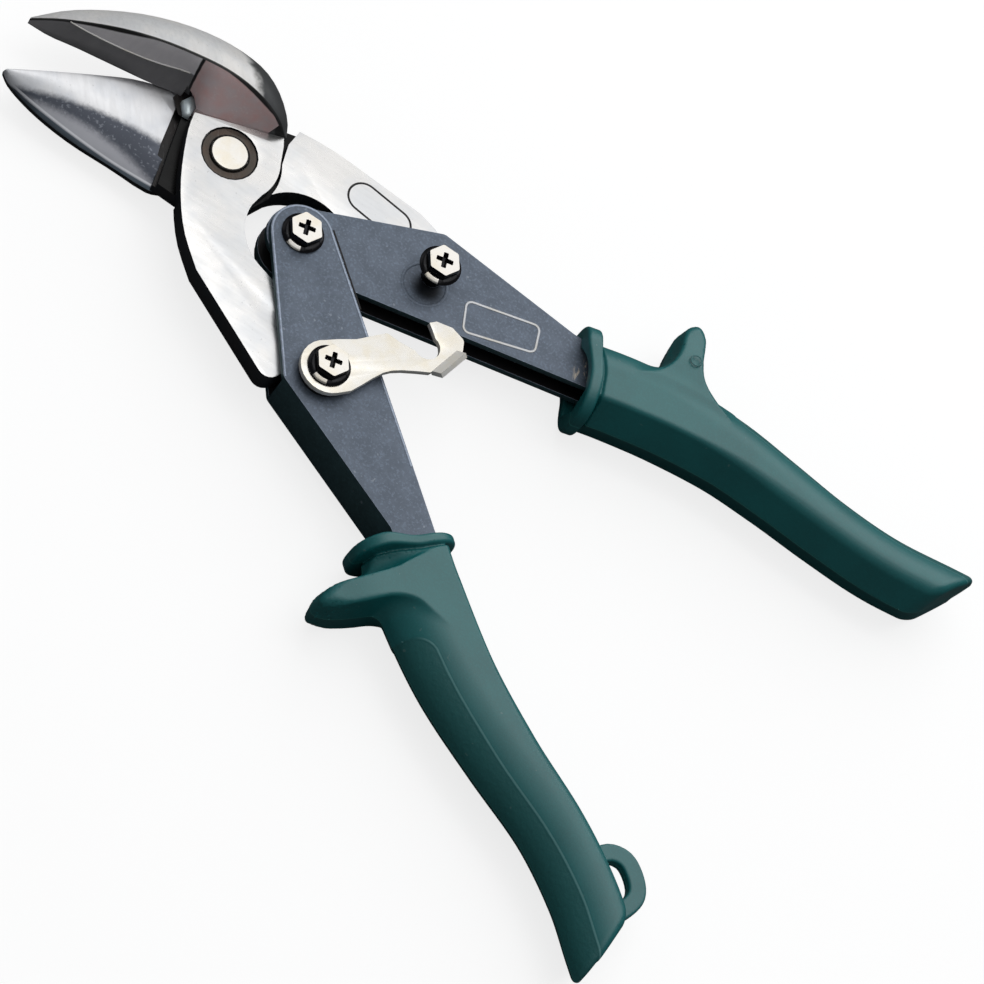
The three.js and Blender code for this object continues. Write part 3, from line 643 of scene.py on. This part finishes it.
def build_wire(name, points, radius, material, node, closed=False, flatten=1.0):
    """A fine line in relief on a CAD node, with its radius in millimetres."""
    line = wire_loop(name, points, radius * MM, closed, flatten)
    place(dressed(line, material), node)


def straight(start, end, height, count):
    """Points at one height along a straight plan line."""
    return [at(*spot, height) for spot in np.linspace(start, end, count)]


def rounded_outline(corners, radius, height, steps=8):
    """Points of a closed plan outline with rounded corners, in metres, at one height."""
    points = []
    for i, corner in enumerate(corners):
        here = Vector(corner)
        back = (Vector(corners[i - 1]) - here).normalized()
        on = (Vector(corners[(i + 1) % len(corners)]) - here).normalized()
        half = back.angle(on) / 2
        centre = here + (back + on).normalized() * radius / math.sin(half)
        start = here + back * radius / math.tan(half) - centre
        end = here + on * radius / math.tan(half) - centre
        turn = start.angle_signed(end)
        for step in range(steps + 1):
            spoke = start.copy()
            spoke.rotate(Matrix.Rotation(-turn * step / steps, 2))
            points.append(at(*(centre + spoke), height))
    return points


# ---- implicit shapes


def spread(value, low, high):
    """A smooth step from 0 at low to 1 at high."""
    share = np.clip((value - low) / (high - low), 0.0, 1.0)
    return share * share * (3 - 2 * share)


def joined(first, second, fillet):
    """The union of two distance fields, with a fillet where they meet."""
    share = np.clip(0.5 + 0.5 * (second - first) / fillet, 0.0, 1.0)
    return second + (first - second) * share - fillet * share * (1 - share)


def trimmed(body, cutter, fillet):
    """A distance field with another one cut away, with a rounded edge."""
    return -joined(-body, cutter, fillet)


def common(first, second, radius):
    """What two distance fields have in common, with a rounded edge of this radius."""
    corner = np.hypot(np.maximum(first + radius, 0.0), np.maximum(second + radius, 0.0))
    return corner + np.minimum(np.maximum(first, second) + radius, 0.0) - radius


def along_line(x, y, line):
    """Distance along a plan polyline and to its left, from the nearest of its points."""
    step = np.hypot(*np.diff(line, axis=0).T)
    run = np.concatenate([[0.0], np.cumsum(step)])
    heading = np.gradient(line, run, axis=0)
    heading /= np.linalg.norm(heading, axis=1)[:, None]
    batches = len(x) // 20000 + 1  # keeps each table of distances small
    nearest = np.concatenate([
        np.argmin((px[:, None] - line[:, 0]) ** 2 + (py[:, None] - line[:, 1]) ** 2, axis=1)
        for px, py in zip(np.array_split(x, batches), np.array_split(y, batches))
    ])
    dx = x - line[nearest, 0]
    dy = y - line[nearest, 1]
    tx, ty = heading[nearest].T
    return run[nearest] + dx * tx + dy * ty, dy * tx - dx * ty


def to_line(x, y, points):
    """Distance in plan from a polyline with few points."""
    best = np.full_like(x, 1e9)
    for (ax, ay), (bx, by) in zip(points, points[1:]):
        run_x, run_y = bx - ax, by - ay
        share = np.clip(((x - ax) * run_x + (y - ay) * run_y) / (run_x**2 + run_y**2), 0, 1)
        best = np.minimum(best, np.hypot(x - ax - share * run_x, y - ay - share * run_y))
    return best


def to_polygon(x, y, corners):
    """Signed distance in plan from a closed polygon, negative inside."""
    edge = to_line(x, y, [*corners, corners[0]])
    inside = np.zeros(len(x), dtype=bool)
    for (ax, ay), (bx, by) in zip(corners, [*corners[1:], corners[0]]):
        if ay != by:
            inside ^= ((ay > y) != (by > y)) & (x < (bx - ax) * (y - ay) / (by - ay) + ax)
    return np.where(inside, -edge, edge)


def smooth_line(points, count=200):
    """A smooth plan curve through a few points, as many close points."""
    points = np.array(points, dtype=float)
    padded = np.vstack([2 * points[0] - points[1], points, 2 * points[-1] - points[-2]])
    places = np.linspace(0, len(points) - 1 - 1e-9, count)
    span = places.astype(int)
    t = (places - span)[:, None]
    a, b, c, d = (padded[span + i] for i in range(4))
    return 0.5 * (2 * b + (c - a) * t + (2 * a - 5 * b + 4 * c - d) * t**2 + (3 * b - a - 3 * c + d) * t**3)


def implicit_mesh(distance, low, high, cell):
    """The surface where a distance field is zero, as points and quads, with one point in each crossed cell.

    The points start in the cells' middles and are then moved onto the surface along the field's slope.
    """
    axes = [np.arange(a, b + cell, cell) for a, b in zip(low, high)]
    shape = tuple(len(axis) for axis in axes)
    grid = np.stack(np.meshgrid(*axes, indexing="ij"), axis=-1).reshape(-1, 3)
    inside = (distance(grid) < 0).reshape(shape)
    cells = tuple(size - 1 for size in shape)
    corners = np.zeros(cells, dtype=int)
    for i, j, k in np.ndindex(2, 2, 2):
        corners += inside[i:i + cells[0], j:j + cells[1], k:k + cells[2]]
    crossed = (corners > 0) & (corners < 8)
    index = np.full(cells, -1)
    index[crossed] = np.arange(crossed.sum())
    points = np.array(low) + (np.argwhere(crossed) + 0.5) * cell
    quads = []
    for axis in range(3):
        here = np.moveaxis(inside, axis, 0)
        cell_index = np.moveaxis(index, axis, 0)
        change = here[:-1].astype(int) - here[1:]
        n, u, v = np.nonzero(change[:, 1:-1, 1:-1])
        turn = change[:, 1:-1, 1:-1][n, u, v]
        ring = [cell_index[n, u + i, v + j] for i, j in ((0, 0), (1, 0), (1, 1), (0, 1))]
        ring = np.stack(ring, axis=1)
        outward = turn > 0 if axis != 1 else turn < 0
        quads.append(np.where(outward[:, None], ring, ring[:, ::-1]))
    nudge = 0.05
    for _ in range(5):
        value = distance(points)
        slope = np.stack([distance(points + nudge * unit) - value for unit in np.eye(3)], axis=1) / nudge
        size = np.maximum((slope**2).sum(axis=1), 0.05)
        move = -slope * (value / size)[:, None]
        length = np.maximum(np.linalg.norm(move, axis=1), 1e-9)
        points += move * np.minimum(1.0, 0.6 * cell / length)[:, None]
    return points, np.concatenate(quads)


# ---- camera, floor and light

VIEW_TARGET = at(100.46, -1.21)
VIEW_DISTANCE = 950 * MM
VIEW_AZIMUTH = math.radians(10)
VIEW_TILT = math.radians(33.5)
VIEW_ROLL = math.radians(42)
LENS = 149.45
SENSOR_WIDTH = 36.0
FLOOR_REACH = 6.0
SKY = (0.92, 0.96, 1.0)
SKY_STRENGTH = 0.12

# Each area light's azimuth, which is 0 on the camera's side and 180 behind, and its elevation in degrees,
# its distance and size in metres, and its power in watts.
SOFTBOXES = {
    "key": (180, 57, 1.3, (1.7, 1.3), 7.2),
    "overhead": (20, 86, 1.3, (1.3, 1.3), 3.6),
    "behind": (180, 22, 1.4, (1.6, 0.5), 3.6),
    "left": (255, 30, 1.2, (0.7, 0.5), 0.5),
}


def view_turn(azimuth, tilt, roll=0.0):
    """How something that looks down turns to face along a direction."""
    return Matrix.Rotation(azimuth, 4, "Z") @ Matrix.Rotation(tilt, 4, "X") @ Matrix.Rotation(roll, 4, "Z")


def add_camera():
    camera = new_object("camera", bpy.data.cameras.new("camera"))
    camera.data.lens = LENS
    camera.data.sensor_width = SENSOR_WIDTH
    camera.data.clip_end = 20.0
    turn = view_turn(VIEW_AZIMUTH, VIEW_TILT, VIEW_ROLL)
    camera.matrix_world = Matrix.Translation(VIEW_TARGET + turn @ Vector((0, 0, VIEW_DISTANCE))) @ turn
    bpy.context.scene.camera = camera


def add_softbox(name, azimuth, elevation, distance, size, power):
    """A rectangular area light that faces the snips."""
    data = bpy.data.lights.new(name, "AREA")
    data.shape = "RECTANGLE"
    data.size, data.size_y = size
    data.energy = power
    light = new_object(name, data)
    turn = view_turn(VIEW_AZIMUTH + math.radians(azimuth), math.radians(90 - elevation))
    light.matrix_world = Matrix.Translation(VIEW_TARGET + turn @ Vector((0, 0, distance))) @ turn


def add_stage():
    """The floor that the snips lie on, a dim cool sky and the softboxes."""
    work = bmesh.new()
    bmesh.ops.create_grid(work, x_segments=8, y_segments=8, size=FLOOR_REACH)
    floor = finished_mesh("floor", work)
    floor.location.z = cad_low.z
    dressed(floor, paper_floor())
    world = bpy.data.worlds.new("studio")
    world.use_nodes = True
    background = world.node_tree.nodes["Background"]
    background.inputs["Color"].default_value = shade(SKY)
    background.inputs["Strength"].default_value = SKY_STRENGTH
    bpy.context.scene.world = world
    bpy.context.scene.view_settings.view_transform = "Standard"
    for name, settings in SOFTBOXES.items():
        add_softbox(name, *settings)


# ---- blades and pivot

GROOVE_FLOOR = -1.9  # the height of the groove's floor at the lower jaw's root


def faces_up(normal):
    return normal.z > 0.5


def plan_middle(corners):
    """The mean plan x and y of a face's corners."""
    return [sum(values) / len(corners) for values in list(zip(*corners))[:2]]


def upper_blade_paint(corners, normal):
    """Hub tops are ground, the jaw's wall and back have their own steels, and side walls take a darker steel
    as painted shade.
    """
    hub, wall, back, side = 0, 2, 3, 4
    x, y = plan_middle(corners)
    high = max(corner.z for corner in corners)
    on_jaw = y - 0.92 * x > 11.0 or x < -12.6
    if high < 0.1 or not on_jaw:
        return hub if faces_up(normal) or high < 0.1 else side
    if y < np.interp(x, RIDGE_X, RIDGE_Y) and normal.y < 0:
        return wall
    return back if normal.z > -0.1 and high > 0.3 else side


def lower_blade_paint(corners, normal):
    """The jaw's top has its own steel beyond the hub's face, the groove between them is painted black as
    shade, and side walls take a darker steel as painted shade.
    """
    hub, groove, jaw, side = 0, 1, 2, 3
    x, y = plan_middle(corners)
    if not faces_up(normal):
        return side
    if all(abs(corner.z - GROOVE_FLOOR) < 0.1 for corner in corners):
        return groove
    return jaw if x + 0.65 * y < -6 and x < 4 else hub


def build_blades():
    upper_steels = [BLADE, EDGE_SHADE, WALL, BACK, SIDE_SHADE]
    refined("upper_blade", 0.24, upper_steels, upper_blade_paint)
    lower_steels = [LOWER_BLADE, EDGE_SHADE, LOWER_JAW, SIDE_SHADE]
    refined("lower_blade", 0.2, lower_steels, lower_blade_paint)
    build_notch_facet()
    build_wall_lip()
    build_blank_stamping()


def build_wall_lip():
    """The lip between the two ground bands of the upper jaw's inner wall, as a wire in a painted highlight."""
    mesh = frame["nodes"]["upper_blade"].data
    corners = [vertex.co for vertex in mesh.vertices]
    jaw = BVHTree.FromPolygons(corners, [face.vertices for face in mesh.polygons])
    inwards = Vector((0, 1, 0))
    starts = [at(x, -60, np.polyval(WALL_LIP, x)) for x in np.linspace(-46.5, -20.5, 40)]
    hits = [jaw.ray_cast(start, inwards)[0] for start in starts]
    lip = [hit for hit in hits if hit]
    build_wire("jaw_wall_lip_highlight", lip, 0.17, ZINC_HIGHLIGHT, "upper_blade")


def build_notch_facet():
    """The bevelled pad in the heel notch of the upper jaw, in a bright bluish painted highlight, and a dark
    sheet of painted shade on the notch's floor.
    """
    base = [(-17.5, 0.8), (-14.5, -1.2), (-13.2, -0.6), (-14.3, 2.6), (-15.7, 4.5), (-17.3, 3.6)]
    rings = stacked_rings(base, (-15.4, 1.4), ((0.3, 0.0), (0.3, 1.0), (1.5, 1.0), (2.0, 0.8), (2.1, 0.0)))
    pad = loft("notch_pad", rings, sharp=80.0)
    place(dressed(pad, NOTCH_HIGHLIGHT), "upper_blade")
    # A thin dark sheet of painted shade on the notch's floor.
    base = [(-19.8, 0.6), (-15.5, -1.6), (-12.9, -0.4), (-14.6, 5.4), (-19.8, 6.4)]
    rings = stacked_rings(base, (-16.8, 2.2), ((0.06, 0.0), (0.06, 1.0), (0.26, 1.0), (0.28, 0.0)))
    place(dressed(loft("notch_shadow", rings), EDGE_SHADE), "upper_blade")


def stacked_rings(outline, centre, levels):
    """A plan outline at each level's height, scaled about a centre by its share, which is 0 for a point."""
    centre = Vector(centre)
    rings = []
    for height, share in levels:
        spots = [centre + (Vector(corner) - centre) * share for corner in outline] if share else [centre]
        rings.append([at(*spot, height) for spot in spots])
    return rings


def build_blank_stamping():
    """A blank long round-ended stamping on the lower blade's shank."""
    start, end, radius = Vector((26.0, 22.4)), Vector((35.4, 24.6)), 3.9
    shank_top = 2.4
    run = (end - start).normalized()
    side = Vector((-run.y, run.x))
    points = []
    for centre, away in ((end, 1), (start, -1)):
        for step in range(17):
            angle = math.pi * (step / 16 - 0.5)
            spoke = run * away * math.cos(angle) + side * away * math.sin(angle)
            points.append(at(*(centre + spoke * radius), shank_top))
    # The stamping's outline is a flattened wire of painted shadow.
    build_wire("shank_stamping", points, 0.28, PAINTED_SHADOW, "lower_blade", closed=True, flatten=0.25)


def build_blade_pivot():
    refined("blade_pivot_bolt", 0.12, [CREAM_STEEL, EDGE_SHADE])
    refined("blade_pivot_ring", 0.45, [BRONZE, EDGE_SHADE])
    refined("blade_pivot_washer", 0.12, [PLATED, PLATED])
    build_nut("blade_pivot_nut", 4.8 * MM)


# ---- handles

FLANGE_SHEET = 1.8
LOWER_FLANGE_TOP = 6.2
UPPER_FLANGE_TOP = 4.3


def channel_paint(inside):
    """Nearer to the slide plane than inside, the coating is painted near black as shade. The web's outer
    side takes a darker coating as painted shade.
    """
    flange, inside_shade, web = 0, 2, 3

    def paint(corners, normal):
        if max(abs(corner.z) for corner in corners) < inside:
            return inside_shade
        return web if abs(normal.z) < 0.3 else flange
    return paint


def build_channels():
    coats = [COATING, COATING_HIGHLIGHT, COATING_INSIDE_SHADE, COATING_SIDE_SHADE]
    for node in ("lower_handle_channel", "upper_handle_channel"):
        low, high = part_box(node)
        inside = (high.z - low.z) / 2 / MM - FLANGE_SHEET + 0.05
        refined(node, 0.4, coats, channel_paint(inside))
    build_badge()
    ring = round_ring(at(*DISH), 5.6 * MM, at(0, 0, UPPER_FLANGE_TOP - 0.05).z, 48)
    build_wire("embossed_ring", ring, 0.5, COATING, "upper_handle_channel", closed=True, flatten=0.3)
    build_channel_edges()


def build_channel_edges():
    """A dark wire of painted shadow in the gap between the nested flanges, and a light wire of painted
    highlight along the lower flange's edge.
    """
    # A dark wire of painted shadow along the gap.
    gap = straight((29.3, 7.4), (48.52, -0.939), LOWER_FLANGE_TOP - 0.35, 20)
    build_wire("channel_edge_shadow", gap, 0.32, PAINTED_SHADOW, "lower_handle_channel")
    # A flattened light wire of painted highlight along the lower flange's edge.
    height = LOWER_FLANGE_TOP + 0.02
    pivot = to_plan(HANDLE_PIVOT).xy
    nose = 7.4
    edge_highlight = straight((85.48, -17.8), (30.128, 6.224), height, 30)
    for angle in range(67, 234, 6):
        turned = math.radians(angle)
        edge_highlight.append(at(pivot.x + nose * math.cos(turned), pivot.y + nose * math.sin(turned), height))
    edge_highlight += straight((22.15, -6.352), (51.55, -28.5), height, 20)
    build_wire("channel_edge_highlight", edge_highlight, 0.26, COATING_HIGHLIGHT, "lower_handle_channel", flatten=0.3)


def build_badge():
    """A blank badge on the upper handle, framed by a pale rounded border."""
    corners = [(60.6, 25.0), (75.8, 36.4), (80.2, 30.2), (66.1, 18.4)]
    border = rounded_outline(corners, 1.6, UPPER_FLANGE_TOP + 0.02)
    build_wire("badge_border", border, 0.34, PALE_LINE, "upper_handle_channel", closed=True, flatten=0.3)


# ---- grips

GRIP_HALF_HEIGHT = 9.7
LIP_HALF_HEIGHT = 10.7
GRIP_CELL = 0.42

# In plan millimetres: "spine" is the grip's middle line from mouth to end, "tang" the handle's outline in
# its pocket, and "loop" the hang loop's middle line. "fin", the guard's outline, and "neck", the hollow's
# far edge, are given along the grip and towards its outer side, "neck" with the outer side first.
LOWER_GRIP = {
    "outer": -1,
    "spine": [(97.8, -30.2), (110, -35.6), (130, -42.2), (150, -45.6), (170, -47.9), (186, -52.2),
              (198.2, -57.6)],
    "fin": [(5, -1), (6.4, 9), (7.3, 15), (7.7, 19.5), (8.6, 23.4), (10.2, 26), (12, 26), (13.3, 23),
            (14.1, 19), (14.7, 14), (15.2, 9.5), (16.8, 5), (20, 2.2), (25, -3)],
    "fin_drop": 0.0,
    "lip_thick": 1.25,
    "mouth_depth": 0.6,
    "neck": ((-7.6, 4.4), (-3.7, 5.3), (0, 6.2), (3.1, 7.0), (5.8, 7.9), (9.5, 8.4), (13.2, 8.6)),
    "front_round": 2.0,
    "round_from": (10.0, 18.0),
    "panel_start": 23.0,
    "tang": [(84, -31.7), (94, -32.5), (109, -37.2), (141, -48.6), (143.6, -41.2), (104, -25.4),
             (90, -19.4)],
    "tang_top": LOWER_FLANGE_TOP,
    "loop": [(181, -43), (182.6, -39.2), (186, -37.3), (190, -38.2), (193.2, -40.4), (194.4, -43.6),
             (194, -49)],
}
UPPER_GRIP = {
    "outer": 1,
    "spine": [(90.1, 36.4), (100, 43.6), (112, 50.8), (126, 57.2), (140, 61.4), (156, 65.8),
              (171, 71.2), (186.2, 79.4)],
    "fin": [(13, 3), (16.8, 6.4), (19.4, 10.2), (20.6, 14.5), (20.9, 19.5), (21.7, 23), (23.6, 25.2),
            (25.6, 24.6), (26.9, 21.5), (27.4, 17.5), (28, 13.5), (29.4, 9.8), (32.6, 6.6), (37, 3)],
    "fin_drop": 0.45,
    "lip_thick": 1.6,
    "mouth_depth": 6.0,
    "neck": None,
    "front_round": 6.5,
    "round_from": (16.0, 40.0),
    "panel_start": 38.0,
    "tang": [(84, 28.7), (98.5, 38.3), (130.4, 55.4), (126.6, 63), (96.5, 48.2), (82, 42.6), (74, 40.4)],
    "tang_top": UPPER_FLANGE_TOP,
    "loop": None,
}


class GripShape:
    """A moulded grip as a distance field: a drafted flat-topped body, a lip, a guard and a slanted end."""

    def __init__(self, settings):
        vars(self).update(settings)
        self.spine = smooth_line(self.spine)
        self.length = np.hypot(*np.diff(self.spine, axis=0).T).sum()
        self.fin = smooth_line(self.fin, 42)
        self.fin_end = max(run for run, _ in self.fin)
        if self.loop:
            self.loop = smooth_line(self.loop, 22)

    def body_place(self, x, y):
        """How far along the grip a point is, and how far towards its outer side."""
        run, left = along_line(x, y, self.spine)
        return run, left * self.outer

    def panel(self, run, out):
        """Signed distance inside the grained side panel, which has a rounded front end."""
        corner = 6.0
        ahead = corner - (run - self.panel_start)
        inward = corner - (out - 4.2 + 0.9 * spread(run / self.length, 0.5, 0.95))
        return corner - np.hypot(np.maximum(ahead, 0.0), np.maximum(inward, 0.0))

    def highlight_strength(self, run, out):
        """The painted highlight along the panel's edge fades out round the outer part of its front end."""
        return 1 - spread(out, 4.5, 7.5) * (1 - spread(run - self.panel_start, 5.0, 12.0))

    def body(self, run, out, rise):
        """The long body, hard along its inner top edge and ever softer along its outer one."""
        share = run / self.length
        draft = 0.34
        half = 10.7 - 2.2 * spread(share, 0.1, 0.75) - draft * rise
        lean = math.hypot(1.0, draft)
        top = rise - GRIP_HALF_HEIGHT
        inner = common((-out - half) / lean, top, 1.0 + 1.4 * spread(share, 0.25, 0.6))
        outer_round = self.front_round + (8.2 - self.front_round) * spread(run, *self.round_from)
        outer = common((out - half) / lean, top, outer_round)
        return np.maximum(inner, outer)

    def guard(self, run, out, rise):
        """The finger guard: a drafted fin with a crisp flat top that slopes a little towards its tip."""
        wall = np.full(len(run), 40.0)
        near = (run < self.fin_end + 8) & (out > -8)
        wall[near] = to_polygon(run[near], out[near], self.fin)
        top = rise - GRIP_HALF_HEIGHT + self.fin_drop + 2.6 * spread(out, 10.0, 27.0)
        return common(wall + 0.1 * rise, top, 0.9 + 1.6 * spread(out, 19.0, 26.0))

    def __call__(self, points):
        """The whole grip: body, guard, end, lip, neck and hang loop, less its mouth and pocket."""
        x, y, z = points.T
        rise = np.abs(z)
        run, out = self.body_place(x, y)
        body = self.body(run, out, rise)
        shape = joined(body, self.guard(run, out, rise), 3.0)
        shape = np.maximum(shape, rise - GRIP_HALF_HEIGHT)
        shape = common(shape, (run - self.length - 0.85 * out) / 1.31, 2.2)
        lip_middle = 2.9 - 1.8 * spread(out, -2.0, 8.0)
        lip_half = self.lip_thick + 0.4 * spread(out, 0.0, 8.0)
        shape = np.maximum(shape, lip_middle - run)
        shape = shape + 0.22 * spread(self.panel(run, out), -0.1, 0.35)
        if self.neck:
            shape = trimmed(shape, self.neck_hollow(run, out, rise, lip_middle + lip_half), 0.5)
        shape = trimmed(shape, np.hypot(run - lip_middle - lip_half - 0.1, shape + 0.2) - 0.65, 0.35)
        shape = joined(shape, self.lip(run, out, z, lip_middle, lip_half), 0.2)
        if self.loop is not None:
            near = run > self.length - 32
            gap = np.full(len(run), 20.0)
            gap[near] = to_line(x[near], y[near], self.loop)
            shape = joined(shape, common(gap - 2.1, rise - 1.7, 0.6), 0.6)
        shape = trimmed(shape, np.maximum(body + 2.3, run - self.mouth_depth), 0.3)
        pocket = np.maximum(to_polygon(x, y, self.tang), rise - self.tang_top) - 0.12
        return trimmed(shape, pocket, 0.1)

    def neck_hollow(self, run, out, rise, lip_end):
        """The hollow between lip and guard, which deepens and widens towards the outer side."""
        end = np.interp(out, *zip(*self.neck))
        start = lip_end + 0.25
        half = np.maximum((end - start) / 2, 0.05)
        share = np.clip((out + 4.0) / 16.0, 0.0, 1.0)
        ceiling = GRIP_HALF_HEIGHT + 0.4 - 6.0 * share**2.1
        return np.hypot(run - (start + end) / 2, np.maximum(ceiling - rise, 0.0)) - half

    def lip(self, run, out, z, lip_middle, lip_half):
        """The raised lip at the mouth, a rounded box whose top dips a little in the middle."""
        shifted = (out - 0.6) / 12.5
        sag = 0.7 * np.exp(-((out - 1.5) / 4.5) ** 2) * (z > 0)
        ring = (np.abs(shifted) ** 2.8 + (np.abs(z) / (LIP_HALF_HEIGHT - sag)) ** 2.8) ** (1 / 2.8)
        return common((ring - 1) * LIP_HALF_HEIGHT, np.abs(run - lip_middle) - lip_half, 0.75)


def build_grip(node, settings):
    """A grip's mesh, with the panel's edge distance and the strength of its painted edge highlight stored
    at its points.
    """
    shape = GripShape(settings)
    low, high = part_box(node)
    margin = Vector((3.0, 3.0, 1.5))
    points, quads = implicit_mesh(shape, to_plan(low) - margin, to_plan(high) + margin, GRIP_CELL)
    run, out = shape.body_place(points[:, 0], points[:, 1])
    mesh = bpy.data.meshes.new(node + "_finished")
    mesh.from_pydata([at(*point) for point in points], [], quads.tolist())
    stored = {"panel_edge": shape.panel(run, out), "highlight_strength": shape.highlight_strength(run, out)}
    for name, value in stored.items():
        attribute = mesh.attributes.new(name, "FLOAT", "POINT")
        attribute.data.foreach_set("value", np.clip(value, -4, 4).astype(np.float32))
    mesh.shade_smooth()
    place(dressed(new_object(node + "_finished", mesh), VINYL), node, stands_in=True)


def build_grips():
    build_grip("lower_grip", LOWER_GRIP)
    build_grip("upper_grip", UPPER_GRIP)
    mark = round_ring(at(105, 61.3), 1.35 * MM, at(0, 0, GRIP_HALF_HEIGHT).z, 32)
    build_wire("guard_pin_mark", mark, 0.2, VINYL, "upper_grip", closed=True, flatten=0.6)


# ---- latch and fasteners

SCREW_TWIST = math.radians(20)
GLINT_SIDE = Vector((0.27, -0.96))  # the side on which the screws' flanges take a painted glint, in plan
FLANGE_HEIGHT = 1.1 * MM
HEX_FLATS = 7.4 * MM
HEX_HEIGHT = 2.2 * MM
SCREW_SIDES = 144
CROWN_RINGS = 30
THREAD_RADIUS = 2.5 * MM
THREAD_DEPTH = 0.35 * MM
THREAD_TURNS = 5
THREAD_PITCH = 0.8 * MM


def latch_paint(corners, normal):
    """The sheet's sheared sides and its bent tab take a painted highlight, brighter than its level faces."""
    return 0 if abs(normal.z) > 0.9 else 2


def build_latch():
    refined("latch_plate", 0.2, [ZINC, EDGE_SHADE, ZINC_HIGHLIGHT], latch_paint)
    refined("latch_spring_washer", 0.1, [BLACK, BLACK])


def cross_depth(x, y):
    """How deep a cross recess is at a place on a screw head, in metres."""
    deepest = 0.0
    for along, across in ((x, y), (y, x)):
        from_end = 2.1 * MM - abs(along)
        from_side = 0.58 * MM - abs(across)
        deepest = max(deepest, min(from_end * 2.2, from_side * 6.0, 1.3 * MM))
    return deepest


def screw_top(centre, height, reach):
    """Rings of the head's top face, from its rim to one point, sunk where the cross recess is."""
    rim = [Vector((x, y)) for x, y, _ in round_ring(Vector((0, 0, 0)), reach, 0.0, SCREW_SIDES)]
    recess_turn = Matrix.Rotation(-SCREW_TWIST - math.radians(15), 2)
    rings = []
    for step in range(CROWN_RINGS + 1):
        share = 1 - step / CROWN_RINGS
        spots = [point * share for point in (rim if share else rim[:1])]
        rings.append([(centre.x + spot.x, centre.y + spot.y, height - cross_depth(*(recess_turn @ spot)))
                      for spot in spots])
    return rings


def build_screw(node):
    """A flanged hexagon screw with a bright crown, a cross recess, a threaded end and a painted glint on its
    flange.
    """
    low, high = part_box(node)
    centre = middle(node)
    hex_bottom = high.z - HEX_HEIGHT
    flange_bottom = hex_bottom - FLANGE_HEIGHT
    flange = (high.x - low.x) / 2
    root = THREAD_RADIUS - THREAD_DEPTH
    profile = [(root, low.z)]
    for turn in range(THREAD_TURNS):
        start = low.z + 0.3 * MM + turn * THREAD_PITCH
        profile += [(THREAD_RADIUS, start), (THREAD_RADIUS, start + 0.2 * MM),
                    (root, start + 0.4 * MM), (root, start + 0.6 * MM)]
    profile += [(THREAD_RADIUS, profile[-1][1] + 0.2 * MM), (THREAD_RADIUS, flange_bottom),
                (flange - 0.2 * MM, flange_bottom), (flange, flange_bottom + 0.2 * MM),
                (flange, flange_bottom + 0.5 * MM), (flange - 0.3 * MM, flange_bottom + 0.75 * MM),
                (flange - 1.0 * MM, hex_bottom)]
    rings = [[(centre.x, centre.y, low.z)]]
    rings += [round_ring(centre, reach, height, SCREW_SIDES) for reach, height in profile]
    sides = hexagon_reach(HEX_FLATS, SCREW_TWIST)
    rings.append(round_ring(centre, sides, hex_bottom, SCREW_SIDES))
    rings.append(round_ring(centre, sides, high.z - 0.25 * MM, SCREW_SIDES))
    rings += screw_top(centre, high.z, lambda angle: min(sides(angle) - 0.12 * MM, HEX_FLATS * 0.545))
    screw = dressed(loft(node + "_finished", rings, sharp=28.0), BLACK, CREAM_STEEL)
    for face in screw.data.polygons:
        # Flange faces towards the glint side get the crown's bright steel as a painted glint.
        towards_glint = (face.center.xy - centre.xy).normalized().dot(GLINT_SIDE) > 0.93
        on_rim = flange_bottom + 0.5 * MM < face.center.z < hex_bottom
        on_crown = face.center.z > high.z - 0.2 * MM and face.normal.z > 0.6
        face.material_index = int(on_crown or on_rim and towards_glint)
    place(screw, node, stands_in=True)


def build_nut(node, bore):
    """A hexagon nut with turned corners on both faces and a chamfered bore."""
    low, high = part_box(node)
    centre = middle(node)
    sides = hexagon_reach(high.y - low.y)
    chamfer = 0.3 * MM
    face = (high.y - low.y) * 0.49
    profile = [(bore, low.z + chamfer), (bore + chamfer, low.z), (face, low.z),
               (sides, low.z + chamfer * 1.6), (sides, high.z - chamfer * 1.6), (face, high.z),
               (bore + chamfer, high.z), (bore, high.z - chamfer)]
    rings = [round_ring(centre, reach, height) for reach, height in profile]
    nut = loft(node + "_finished", rings, closed=True)
    place(dressed(nut, PLATED), node, stands_in=True)


def build_fasteners():
    for name in ("link", "latch", "catch"):
        build_screw(name + "_screw")
        build_nut(name + "_nut", 2.6 * MM)
    refined("link_sleeve", 0.1, [PLATED, PLATED])
    refined("shank_spacer", 0.1, [PLATED, PLATED])


# ---- return spring


def build_spring():
    """The torsion spring round the handle pivot, one leg against each handle."""
    radius = 5.2 * MM
    rise = 1.7 * MM
    turns = 2.5
    steps = 120
    coil = []
    for step in range(steps + 1):
        share = step / steps
        angle = -math.pi / 2 - share * turns * 2 * math.pi
        offset = Vector((math.cos(angle) * radius, math.sin(angle) * radius, -rise + 2 * rise * share))
        coil.append(HANDLE_PIVOT + offset)
    low_end = HANDLE_PIVOT + Vector((25 * MM, -10.4 * MM, -rise))
    high_end = HANDLE_PIVOT + Vector((25 * MM, 8.8 * MM, rise))
    low_leg = [low_end.lerp(coil[0], step / 12) for step in range(12)]
    high_leg = [coil[-1].lerp(high_end, (step + 1) / 12) for step in range(12)]
    spring = dressed(wire_loop("return_spring_finished", low_leg + coil + high_leg, 0.6 * MM), BLACK)
    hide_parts("return_spring")
    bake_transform(spring)


add_camera()
add_stage()
build_blades()
build_blade_pivot()
build_channels()
build_grips()
build_latch()
build_fasteners()
build_spring()
